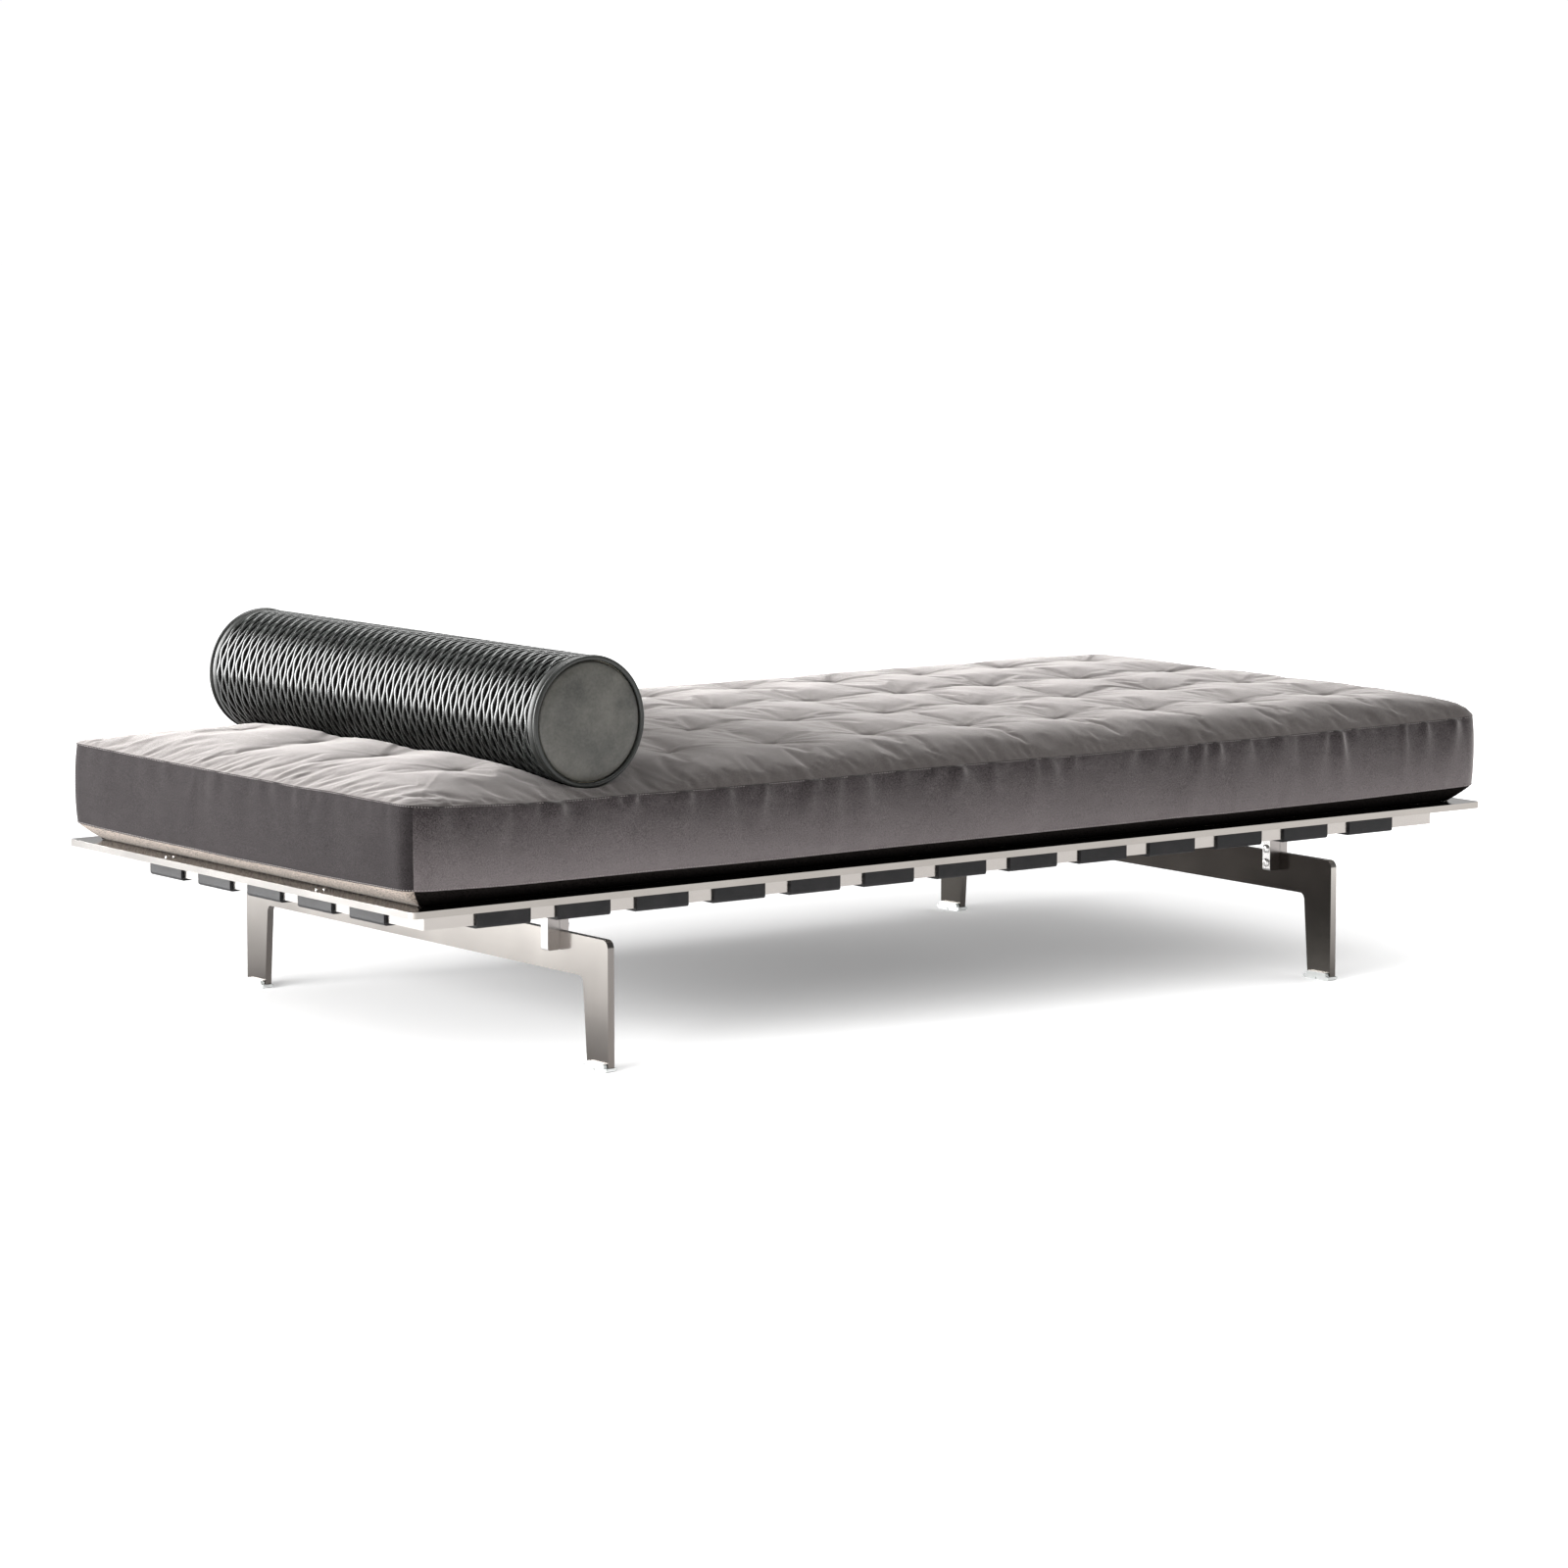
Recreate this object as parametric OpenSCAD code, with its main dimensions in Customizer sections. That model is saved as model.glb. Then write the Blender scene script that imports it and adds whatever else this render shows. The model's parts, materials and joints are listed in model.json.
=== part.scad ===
// Daybed: a bright steel frame laced with leather straps, a tufted mattress and a round bolster.
// X runs along the length, Y across the width and Z up. The origin is on the floor, below the
// middle of the frame. The head end, where the bolster lies, is at -X, and the front is at -Y.

/* [Plate ring] */
// Length of the plate ring and of the mattress
bed_len = 2000; // [1950:10:2050]
// Width of the plate ring and of the mattress
bed_w = 944; // [924:4:964]
// Height of the plate ring's top face above the floor
plate_top = 253; // [248:1:258]
// Thickness of the plates
plate_t = 10; // [9:1:12]
// Width of the plates along the long sides
side_plate_w = 117; // [110:1:124]
// Width of the plates across the ends
end_plate_w = 117; // [110:1:124]
// Radius of the ring's outer corners
plate_corner_r = 9; // [4:1:14]

/* [Rails] */
// Distance from the plates' outer edge in to the rails' outer face
rail_inset = 56; // [50:1:60]
// Width of a rail
rail_w = 70; // [68:1:74]
// Height of a rail
rail_h = 26.5; // [25:0.5:28]
// Wall thickness of a rail
rail_wall = 3; // [2:0.5:3]

/* [Straps] */
// Width of a strap
strap_w = 90; // [84:1:94]
// Thickness of a strap
strap_t = 4.4; // [3.5:0.1:4.6]
// Distance from a rail's end to the middle of the first cross strap
cross_end = 130; // [126:1:134]
// Distance from a rail's end to the middle of the first long strap
long_end = 140; // [136:1:144]
// Length of a strap's tail under the rail
strap_tail = 42; // [38:1:44]

/* [Leg plates] */
// Thickness of a leg plate
leg_t = 11; // [10:0.5:12]
// Distance between a leg plate's outer edges
leg_span = 971; // [960:1:980]
// Height of a leg plate's top edge above the floor
leg_top = 187; // [184:1:190]
// Height of the underside of a leg plate's beam
beam_bottom = 130; // [126:1:134]
// Width of a leg where it meets the beam
leg_w_top = 62; // [58:1:66]
// Width of a leg at its foot
leg_w_foot = 52; // [48:1:56]
// Radius of a leg plate's outer top corners
leg_corner_r = 12; // [6:1:16]
// Radius inside, between the beam and a leg
leg_fillet_r = 10; // [6:1:14]
// Height of the clear glide's base under a leg
glide_base = 6; // [5:1:7]

/* [Clamps] */
// Distance from the middle of the bed to the middle of a clamp
clamp_y = 358; // [357:1:359]
// Width of a clamp
clamp_w = 17; // [16:1:17]
// Thickness of a clamp's block, in front of the leg plate
clamp_block_t = 20.4; // [19:0.2:22]
// Thickness of a clamp's jaw, over and behind the leg plate
clamp_jaw_t = 15.6; // [15:0.2:17]
// Height of a clamp
clamp_h = 56.5; // [55:0.5:58]

/* [Mattress] */
// Height of the mattress's lower seam above the floor
seam_low = 277; // [275:1:280]
// Height of the mattress's upper seam above the floor
seam_high = 390; // [386:1:391]
// Height of the mattress's crown above the floor
mattress_top_z = 417; // [412:1:422]
// Distance that the top rolls in from its seam to the crown
crown_inset = 40; // [30:1:60]
// Radius of the mattress's upright corners
mattress_corner_r = 35; // [25:1:45]
// Distance that the underside draws in below the lower seam
bevel_inset = 40; // [34:1:46]

/* [Bolster] */
// Diameter of the bolster over its piping
bolster_d = 188; // [180:2:188]
// Length of the bolster
bolster_len = 884; // [860:2:900]
// Distance from the middle of the bed to the bolster's axis
bolster_x = 680; // [600:5:720]
// Height of the bolster's lowest line above the floor
bolster_rest_z = 397; // [395:0.5:400]
// Diameter of the piping cord
piping_d = 8; // [6:0.5:9]

/* [Hidden] */
$fn = 64;
// Small overlap past a face that a cut goes through
cut = 1;

plate_bottom = plate_top - plate_t;
face_x = bed_len / 2 - rail_inset;
face_y = bed_w / 2 - rail_inset;
rail_bottom = plate_bottom - rail_h;

cross_n = 13;
long_n = 5;
cross_pitch = 2 * (face_x - cross_end) / (cross_n - 1);
long_pitch = 2 * (face_y - long_end) / (long_n - 1);
strap_fit = 0.2;
slot_depth = strap_t + 2 * strap_fit;
slot_side = 1.2;
strap_z = plate_bottom - slot_depth / 2;
weave_h = strap_t / 2 + 0.1;
plateau = strap_w / 2 + 2;
// Radius of a strap's bends along its middle: just clear of the rail's square edges
bend_r = strap_t / 2 + 0.4;

leg_head_x = -5 * cross_pitch - leg_t / 2;
leg_foot_x = 5 * cross_pitch - leg_t / 2;
bolt_z = [rail_bottom - 22.5, rail_bottom - 44];
jaw_gap = 0.6;
clamp_fit = 0.1;

bolster_r = bolster_d / 2;
bolster_z = bolster_rest_z + bolster_r;
bolster_gap = 0.5;
mattress_z = plate_top + 0.3;
cover_t = 3;
cover_fit = 0.2;

// ---------------------------------------------------------------- shared shapes

// A rectangle with round corners, centred on the origin
module rounded_rect(l, w, r) {
    square([l - 2 * r, w], center = true);
    square([l, w - 2 * r], center = true);
    for (sx = [-1, 1], sy = [-1, 1])
        translate([sx * (l / 2 - r), sy * (w / 2 - r)])
            circle(r);
}

// Lays a flat YZ outline upright and gives it a thickness along +X
module along_x(t) {
    rotate([90, 0, 90])
        linear_extrude(t)
            children();
}

// A cylinder along +X
module rod_x(d, l) {
    rotate([0, 90, 0])
        cylinder(d = d, h = l);
}

// A cylinder from one height to another
module rod_z(d, z0, z1) {
    translate([0, 0, z0])
        cylinder(d = d, h = z1 - z0);
}

// ---------------------------------------------------------------- plate ring

plate_screw_d = 6;
plate_screw_x = [for (s = [-1, 1], k = [0.5, 2.5, 4.5]) s * k * cross_pitch];
plate_screw_y = [for (s = [-1, 1], k = [0.5, 1.5]) s * k * long_pitch];
rail_mid_x = face_x - rail_w / 2;
rail_mid_y = face_y - rail_w / 2;
plate_screw_depth = 7;

stop_inset = [14, 27];
stop_pin_d = 3;
stop_pin_l = 6;

// Places its children at each plate screw of the long sides
module at_side_screws() {
    for (x = plate_screw_x, s = [-1, 1])
        translate([x, s * rail_mid_y, 0])
            children();
}

// Places its children at each plate screw of the ends
module at_end_screws() {
    for (y = plate_screw_y, s = [-1, 1])
        translate([s * rail_mid_x, y, 0])
            children();
}

// Places its children at each mattress stop, on the plates' top face
module at_stops() {
    for (s = [-1, 1], e = [-1, 1], i = stop_inset)
        translate([s * (bed_len / 2 - i), e * 1.5 * long_pitch, plate_top])
            children();
}

// The whole ring as one slab, with blind holes for the screws and pins
module ring_slab() {
    difference() {
        translate([0, 0, plate_bottom])
            linear_extrude(plate_t)
                rounded_rect(bed_len, bed_w, plate_corner_r);
        at_side_screws()
            rod_z(plate_screw_d + 0.1, plate_bottom - cut, plate_bottom + plate_screw_depth + 0.5);
        at_end_screws()
            rod_z(plate_screw_d + 0.1, plate_bottom - cut, plate_bottom + plate_screw_depth + 0.5);
        at_stops()
            rod_z(stop_pin_d + 0.1, -stop_pin_l - 0.5, cut);
    }
}

// A plate along one long side; s is -1 at the front and 1 at the rear
module side_plate(s) {
    y0 = s > 0 ? bed_w / 2 - side_plate_w : -bed_w / 2;
    color("gainsboro")
        intersection() {
            ring_slab();
            translate([-bed_len, y0, 0])
                cube([2 * bed_len, side_plate_w, plate_top + cut]);
        }
}

// A plate across one end, between the side plates; s is -1 at the head and 1 at the foot
module end_plate(s) {
    inner_w = bed_w - 2 * side_plate_w;
    color("gainsboro")
        intersection() {
            ring_slab();
            translate([s > 0 ? bed_len / 2 - end_plate_w : -bed_len / 2 - cut, -inner_w / 2, 0])
                cube([end_plate_w + cut, inner_w, plate_top + cut]);
        }
}

// Socket screws that hold the plates down, driven up from inside the rails
module plate_screws() {
    color("silver") {
        at_side_screws() plate_screw();
        at_end_screws() plate_screw();
    }
}

module plate_screw() {
    head_z = plate_bottom - slot_depth - rail_wall;
    difference() {
        union() {
            rod_z(10, head_z - 6, head_z);
            rod_z(plate_screw_d, head_z - cut, plate_bottom + plate_screw_depth);
        }
        translate([0, 0, head_z - 6 - cut])
            cylinder(d = 5.8, h = 3 + cut, $fn = 6);
    }
}

// Low domed pins on the end plates that keep the mattress from creeping
module mattress_stops() {
    color("silver")
        at_stops()
            rotate_extrude()
                polygon([[0, -stop_pin_l], [stop_pin_d / 2, -stop_pin_l], [stop_pin_d / 2, 0],
                    [3, 0], [3, 0.8], [2.2, 1.8], [1, 2.3], [0, 2.3]]);
}

// ---------------------------------------------------------------- rails

hanger_screw_d = 6;
hanger_x = [-clamp_block_t / 2, leg_t - 3];

// Plan of a mitred rail, measured in from its outer face; edge leaves a margin for the bore
module rail_plan(l, edge, over) {
    a = edge;
    b = rail_w - edge;
    polygon([[-l / 2 + a - over, a], [l / 2 - a + over, a], [l / 2 - b + over, b],
        [-l / 2 + b - over, b]]);
}

// A hollow rail of outer length l with slots in its top face for n straps
module rail_tube(l, n, pitch) {
    difference() {
        translate([0, 0, rail_bottom])
            linear_extrude(rail_h)
                rail_plan(l, 0, 0);
        translate([0, 0, rail_bottom + rail_wall])
            linear_extrude(rail_h - slot_depth - 2 * rail_wall)
                rail_plan(l, rail_wall, cut);
        for (i = [0:n - 1])
            translate([(i - (n - 1) / 2) * pitch - strap_w / 2 - slot_side, -cut,
                plate_bottom - slot_depth])
                cube([strap_w + 2 * slot_side, rail_w + 2 * cut, slot_depth + cut]);
    }
}

// Places its children over each screw that hangs a clamp
module at_hangers() {
    for (x = [leg_head_x, leg_foot_x], dx = hanger_x, s = [-1, 1])
        translate([x + dx, s * clamp_y, 0])
            children();
}

// The screw holes of one strap's two tails, across a rail
tail_screw_x = 24;
tail_screw_in = 30;

// A rail under a long side; s is -1 at the front and 1 at the rear
module side_rail(s) {
    color("lightgray")
        difference() {
            scale([1, -s, 1])
                translate([0, -face_y, 0])
                    rail_tube(2 * face_x, cross_n, cross_pitch);
            at_side_screws() {
                rod_z(plate_screw_d + 0.4, rail_bottom + rail_wall + cut, plate_bottom + cut);
                rod_z(12, rail_bottom - cut, rail_bottom + rail_wall + cut);
            }
            at_hangers() {
                rod_z(hanger_screw_d + 0.4, rail_bottom - cut, rail_bottom + rail_wall + cut);
                rod_z(12, rail_bottom + 2 * rail_wall, plate_bottom + cut);
            }
            at_side_tails()
                rod_z(tail_screw_d + 0.1, rail_bottom - cut, rail_bottom + rail_wall + cut);
        }
}

// A rail under one end; s is -1 at the head and 1 at the foot
module end_rail(s) {
    color("lightgray")
        difference() {
            rotate([0, 0, s * 90])
                translate([0, -face_x, 0])
                    rail_tube(2 * face_y, long_n, long_pitch);
            at_end_screws() {
                rod_z(plate_screw_d + 0.4, rail_bottom + rail_wall + cut, plate_bottom + cut);
                rod_z(12, rail_bottom - cut, rail_bottom + rail_wall + cut);
            }
            at_end_tails()
                rod_z(tail_screw_d + 0.1, rail_bottom - cut, rail_bottom + rail_wall + cut);
        }
}

// ---------------------------------------------------------------- straps

tail_screw_d = 5;

function unit(v) = v / norm(v);
function side_of(v) = [-v[1], v[0]];

// Direction of the path on either side of point i
function before(p, i) = unit(i == 0 ? p[1] - p[0] : p[i] - p[i - 1]);
function after(p, i) = unit(i == len(p) - 1 ? p[i] - p[i - 1] : p[i + 1] - p[i]);

// The point beside point i at distance d, on the mitre between its two stretches
function beside(p, i, d) =
    let(n1 = side_of(before(p, i)), n2 = side_of(after(p, i)), m = unit(n1 + n2))
    p[i] + m * d / (m * n1);

// A ribbon of thickness t that follows the path p
module ribbon(p, t) {
    polygon(concat(
        [for (i = [0:len(p) - 1]) beside(p, i, t / 2)],
        [for (i = [len(p) - 1:-1:0]) beside(p, i, -t / 2)]));
}

// Half of a strap's path from the middle of the bed: over and under n crossing straps on each
// side, over the rail, down its outer face at distance face, and back along its underside
function strap_half(sign, n, pitch, face) =
    let(out = face + strap_fit + strap_t / 2, low = rail_bottom - strap_fit - strap_t / 2)
    concat(
        [for (j = [0:n], e = [-1, 1]) if (j > 0 || e > 0)
            [j * pitch + e * plateau, strap_z + sign * pow(-1, j) * weave_h]],
        [[face - rail_w - 4, strap_z]],
        [for (a = [0:22.5:90])
            [out - bend_r + bend_r * sin(a), strap_z - bend_r + bend_r * cos(a)]],
        [for (a = [0:22.5:90])
            [out - bend_r + bend_r * cos(a), low + bend_r - bend_r * sin(a)]],
        [[face - strap_tail, low]]);

function mirrored(p) = [for (i = [len(p) - 1:-1:0]) [-p[i][0], p[i][1]]];

function strap_path(sign, n, pitch, face) =
    let(h = strap_half(sign, n, pitch, face)) concat(mirrored(h), h);

// Places its children at each screw of the straps' tails, under the side rails
module at_side_tails() {
    for (i = [-6:6], s = [-1, 1], e = [-1, 1])
        translate([i * cross_pitch + e * tail_screw_x, s * (face_y - tail_screw_in), 0])
            children();
}

// The same under the end rails
module at_end_tails() {
    for (j = [-2:2], s = [-1, 1], e = [-1, 1])
        translate([s * (face_x - tail_screw_in), j * long_pitch + e * tail_screw_x, 0])
            children();
}

// Strap k of 13 across the bed, woven with the long straps
module cross_strap(k) {
    i = k - 7;
    color("dimgray")
        difference() {
            translate([i * cross_pitch - strap_w / 2, 0, 0])
                along_x(strap_w)
                    ribbon(strap_path(pow(-1, i), 2, long_pitch, face_y), strap_t);
            for (s = [-1, 1], e = [-1, 1])
                translate([i * cross_pitch + e * tail_screw_x, s * (face_y - tail_screw_in), 0])
                    rod_z(tail_screw_d + 0.2, rail_bottom - 2 * strap_t, rail_bottom);
        }
}

// Strap k of 5 along the bed, woven with the cross straps
module long_strap(k) {
    j = k - 3;
    color("dimgray")
        difference() {
            translate([0, j * long_pitch + strap_w / 2, 0])
                rotate([90, 0, 0])
                    linear_extrude(strap_w)
                        ribbon(strap_path(-pow(-1, j), 6, cross_pitch, face_x), strap_t);
            for (s = [-1, 1], e = [-1, 1])
                translate([s * (face_x - tail_screw_in), j * long_pitch + e * tail_screw_x, 0])
                    rod_z(tail_screw_d + 0.2, rail_bottom - 2 * strap_t, rail_bottom);
        }
}

// A pan-head screw that holds a strap's tail to the rail
module tail_screw() {
    head_z = rail_bottom - strap_fit - strap_t - strap_fit;
    difference() {
        union() {
            rod_z(9.5, head_z - 2.5, head_z);
            rod_z(tail_screw_d, head_z - cut, rail_bottom + rail_wall);
        }
        translate([0, 0, head_z - 2.5 - cut])
            cylinder(d = 3.4, h = 1.5 + cut, $fn = 6);
    }
}

module side_strap_screws() {
    color("silver")
        at_side_tails()
            tail_screw();
}

module end_strap_screws() {
    color("silver")
        at_end_tails()
            tail_screw();
}

// ---------------------------------------------------------------- leg plates

glide_screw_y = 13;
glide_screw_d = 3.2;
leg_mid_foot = leg_span / 2 - leg_w_foot / 2;

// One leg, upright along the +Y edge, with its slanting inner edge
module leg_outline() {
    y_top = leg_span / 2 - leg_w_top;
    y_foot = leg_span / 2 - leg_w_foot;
    slope = (y_foot - y_top) / (beam_bottom - glide_base);
    root = sqrt(1 + slope * slope);
    yc = y_top + slope * leg_fillet_r - leg_fillet_r * root;
    zc = beam_bottom - leg_fillet_r;
    polygon([[y_foot, glide_base], [leg_span / 2, glide_base],
        [leg_span / 2, leg_top - leg_corner_r], [leg_span / 2 - leg_corner_r, leg_top],
        [y_top, leg_top], [y_top, beam_bottom]]);
    translate([leg_span / 2 - leg_corner_r, leg_top - leg_corner_r])
        circle(leg_corner_r);
    difference() {
        polygon([[y_top + cut, beam_bottom + cut], [yc, beam_bottom + cut], [yc, beam_bottom],
            [yc, zc], [yc + leg_fillet_r / root, zc + leg_fillet_r * slope / root],
            [y_top + cut, beam_bottom]]);
        translate([yc, zc])
            circle(leg_fillet_r);
    }
}

// Both legs and the beam between them, cut from one plate
module leg_plate_outline() {
    y_top = leg_span / 2 - leg_w_top;
    translate([-y_top - cut, beam_bottom])
        square([2 * y_top + 2 * cut, leg_top - beam_bottom]);
    leg_outline();
    mirror([1, 0])
        leg_outline();
}

// A leg plate whose head-side face is at x
module leg_plate(x) {
    color("lightgray")
        difference() {
            translate([x, 0, 0])
                along_x(leg_t)
                    leg_plate_outline();
            for (s = [-1, 1])
                translate([x - cut, s * clamp_y, bolt_z[1]])
                    rod_x(bolt_d + 0.4, leg_t + 2 * cut);
            for (s = [-1, 1], e = [-1, 1])
                translate([x + leg_t / 2, s * leg_mid_foot + e * glide_screw_y, 0])
                    rod_z(glide_screw_d + 0.1, glide_base - cut, glide_base + 12);
        }
}

// ---------------------------------------------------------------- clamps

bolt_d = 6;

// An upright XZ outline with round lower corners, from the floor of its own frame
module soft_bottom(w, h, r) {
    translate([0, r])
        square([w, h - r]);
    translate([r, 0])
        square([w - 2 * r, r]);
    for (x = [r, w - r])
        translate([x, r])
            circle(r);
}

// Gives a flat XZ outline the clamp's width, centred on the clamp
module across_clamp(s) {
    translate([0, s * clamp_y + clamp_w / 2, rail_bottom - clamp_h])
        rotate([90, 0, 0])
            linear_extrude(clamp_w)
                children();
}

// The thick half of a clamp, on the head side of the leg plate at x; blind bores stop short of
// the face that shows
module clamp_block(x, s, blind) {
    from = blind ? clamp_block_t - 4 : clamp_block_t + cut;
    color("gainsboro")
        difference() {
            translate([x - clamp_block_t, 0, 0])
                across_clamp(s)
                    soft_bottom(clamp_block_t - clamp_fit, clamp_h - clamp_fit, 3);
            for (z = bolt_z)
                translate([x - from, s * clamp_y, z])
                    rod_x(bolt_d + 0.2, from + cut);
            translate([x + hanger_x[0], s * clamp_y, 0])
                rod_z(hanger_screw_d + 0.1, rail_bottom - 15, rail_bottom + cut);
        }
}

// The jaw, stepped over the top edge of the leg plate at x
module clamp_jaw(x, s) {
    step_z = leg_top + clamp_fit - (rail_bottom - clamp_h);
    color("gainsboro")
        difference() {
            translate([x + jaw_gap, 0, 0])
                across_clamp(s)
                    difference() {
                        soft_bottom(clamp_jaw_t - jaw_gap, clamp_h - clamp_fit, 2);
                        translate([-cut, -cut])
                            square([leg_t + clamp_fit - jaw_gap + cut, step_z + cut]);
                    }
            for (z = bolt_z)
                translate([x - cut, s * clamp_y, z])
                    rod_x(bolt_d + 0.2, clamp_jaw_t + 2 * cut);
            translate([x + hanger_x[1], s * clamp_y, 0])
                rod_z(hanger_screw_d + 0.1, rail_bottom - 15, rail_bottom + cut);
        }
}

// A button-head bolt along +X, its head's seat at 0
module clamp_bolt(l) {
    difference() {
        union() {
            translate([-cut, 0, 0])
                rod_x(bolt_d, l + cut);
            rotate([0, -90, 0])
                rotate_extrude()
                    polygon([[0, 0], [6.6, 0], [6.6, 1.3], [5.6, 2.9], [4, 3.9], [0, 4.2]]);
        }
        translate([-4.2 - cut, 0, 0])
            rotate([0, 90, 0])
                cylinder(d = 4.6, h = 2.6 + cut, $fn = 6);
    }
}

// All eight bolts; their heads face the middle of the bed
module clamp_bolts() {
    color("silver")
        for (s = [-1, 1], z = bolt_z) {
            translate([leg_head_x + clamp_jaw_t, s * clamp_y, z])
                mirror([1, 0, 0])
                    clamp_bolt(clamp_jaw_t + clamp_block_t - 5);
            translate([leg_foot_x - clamp_block_t, s * clamp_y, z])
                clamp_bolt(clamp_jaw_t + clamp_block_t - 1);
        }
}

// Screws inside the side rails that the clamps hang from
module clamp_hanger_screws() {
    color("silver")
        at_hangers()
            difference() {
                union() {
                    rod_z(hanger_screw_d, rail_bottom - 13, rail_bottom + rail_wall + cut);
                    rod_z(9.6, rail_bottom + rail_wall, rail_bottom + rail_wall + 6);
                }
                translate([0, 0, rail_bottom + rail_wall + 3])
                    cylinder(d = 5.8, h = 3 + cut, $fn = 6);
            }
}

// ---------------------------------------------------------------- glides

glide_w = 58;
glide_lip_t = 6;
glide_back_t = 2;
glide_lip_h = 6;

// A clear glide under one leg; x is the leg plate's head-side face and s its side
module glide(x, s) {
    y0 = -glide_w / 2;
    y1 = glide_w / 2;
    color("aliceblue")
        translate([x, s * leg_mid_foot, 0])
            difference() {
                union() {
                    translate([-glide_lip_t, 0, 0])
                        along_x(glide_lip_t + leg_t + glide_back_t)
                            polygon([[y0 + 4, 0], [y1 - 4, 0], [y1, 3], [y1, glide_base],
                                [y0, glide_base], [y0, 3]]);
                    translate([-glide_lip_t, 0, glide_base - cut])
                        along_x(glide_lip_t - 0.1)
                            glide_lip();
                }
                translate([-glide_lip_t - cut, -1.8, -cut])
                    cube([glide_lip_t + 4, 3.6, 4 + cut]);
                for (e = [-1, 1])
                    translate([leg_t / 2, e * glide_screw_y, 0]) {
                        rod_z(glide_screw_d + 0.3, -cut, glide_base + cut);
                        rod_z(6.4, -cut, 3);
                    }
            }
}

// The raised lip against the leg's face, with round upper corners
module glide_lip() {
    lip_w = 46;
    r = 4;
    translate([-lip_w / 2, 0])
        square([lip_w, glide_lip_h + cut - r]);
    translate([-lip_w / 2 + r, 0])
        square([lip_w - 2 * r, glide_lip_h + cut]);
    for (e = [-1, 1])
        translate([e * (lip_w / 2 - r), glide_lip_h + cut - r])
            circle(r);
}

// Two screws up through each glide into the end of the leg
module glide_screws() {
    color("silver")
        for (x = [leg_head_x, leg_foot_x], s = [-1, 1], e = [-1, 1])
            translate([x + leg_t / 2, s * leg_mid_foot + e * glide_screw_y, 0])
                difference() {
                    union() {
                        rod_z(6, 1.2, 2.9);
                        rod_z(glide_screw_d, 2, glide_base + 10);
                    }
                    rod_z(2.2, 0, 2.2);
                }
}

// ---------------------------------------------------------------- mattress

// A block with round upright corners whose sides draw in by inset from z1 to z0
module bevelled_block(l, w, r, z0, z1, inset) {
    intersection() {
        translate([0, 0, min(z0, z1)])
            linear_extrude(abs(z1 - z0))
                rounded_rect(l, w, r);
        translate([0, w, 0])
            rotate([90, 0, 0])
                linear_extrude(2 * w)
                    polygon([[-l / 2 + inset, z0], [l / 2 - inset, z0], [l / 2, z1],
                        [-l / 2, z1]]);
        translate([-l, 0, 0])
            along_x(2 * l)
                polygon([[-w / 2 + inset, z0], [w / 2 - inset, z0], [w / 2, z1],
                    [-w / 2, z1]]);
    }
}

// The foam block inside the cover
module mattress_core() {
    gap = cover_t + cover_fit;
    l = bed_len - 2 * gap;
    w = bed_w - 2 * gap;
    r = mattress_corner_r - gap;
    color("lightyellow")
        union() {
            bevelled_block(l, w, r, mattress_z + gap, seam_low, bevel_inset - gap);
            translate([0, 0, seam_low - 0.01])
                linear_extrude(seam_high - seam_low)
                    rounded_rect(l, w, r);
        }
}

// The crowned, tufted panel over the foam, pressed down under the bolster
module mattress_top() {
    color("dimgray")
        difference() {
            bevelled_block(bed_len, bed_w, mattress_corner_r, mattress_top_z,
                seam_high + cover_fit, crown_inset);
            translate([-bolster_x, bed_w, bolster_z])
                rotate([90, 0, 0])
                    cylinder(r = bolster_r + bolster_gap, h = 2 * bed_w, $fn = 128);
        }
}

// The upright band round the four sides
module mattress_border() {
    color("dimgray")
        translate([0, 0, seam_low + cover_fit])
            linear_extrude(seam_high - seam_low - cover_fit)
                difference() {
                    rounded_rect(bed_len, bed_w, mattress_corner_r);
                    rounded_rect(bed_len - 2 * cover_t, bed_w - 2 * cover_t,
                        mattress_corner_r - cover_t);
                }
}

// The panel underneath, drawn in towards the plate ring
module mattress_underside() {
    l = bed_len - 2 * cover_t;
    w = bed_w - 2 * cover_t;
    r = mattress_corner_r - cover_t;
    color("rosybrown")
        difference() {
            bevelled_block(bed_len, bed_w, mattress_corner_r, mattress_z, seam_low,
                bevel_inset);
            bevelled_block(l, w, r, mattress_z + cover_t, seam_low,
                bevel_inset - cover_t);
            translate([0, 0, seam_low - cover_fit])
                linear_extrude(cut)
                    rounded_rect(l, w, r);
        }
}

// ---------------------------------------------------------------- bolster

sleeve_t = 5;
piping_y = bolster_len / 2 - 2 - piping_d / 2;
sleeve_y = piping_y - piping_d / 2 - cover_fit;

// Stands its children along the bolster's axis; +Z becomes +Y
module on_bolster_axis() {
    translate([-bolster_x, 0, bolster_z])
        rotate([-90, 0, 0])
            children();
}

module bolster_core() {
    color("lightyellow")
        on_bolster_axis()
            rod_z(bolster_d - 2 * (1 + sleeve_t + cover_fit), -sleeve_y, sleeve_y);
}

// The tube of woven leather strips
module bolster_sleeve() {
    color("darkslategray")
        on_bolster_axis()
            difference() {
                rod_z(bolster_d - 2, -sleeve_y, sleeve_y);
                rod_z(bolster_d - 2 - 2 * sleeve_t, -sleeve_y - cut, sleeve_y + cut);
            }
}

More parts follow.
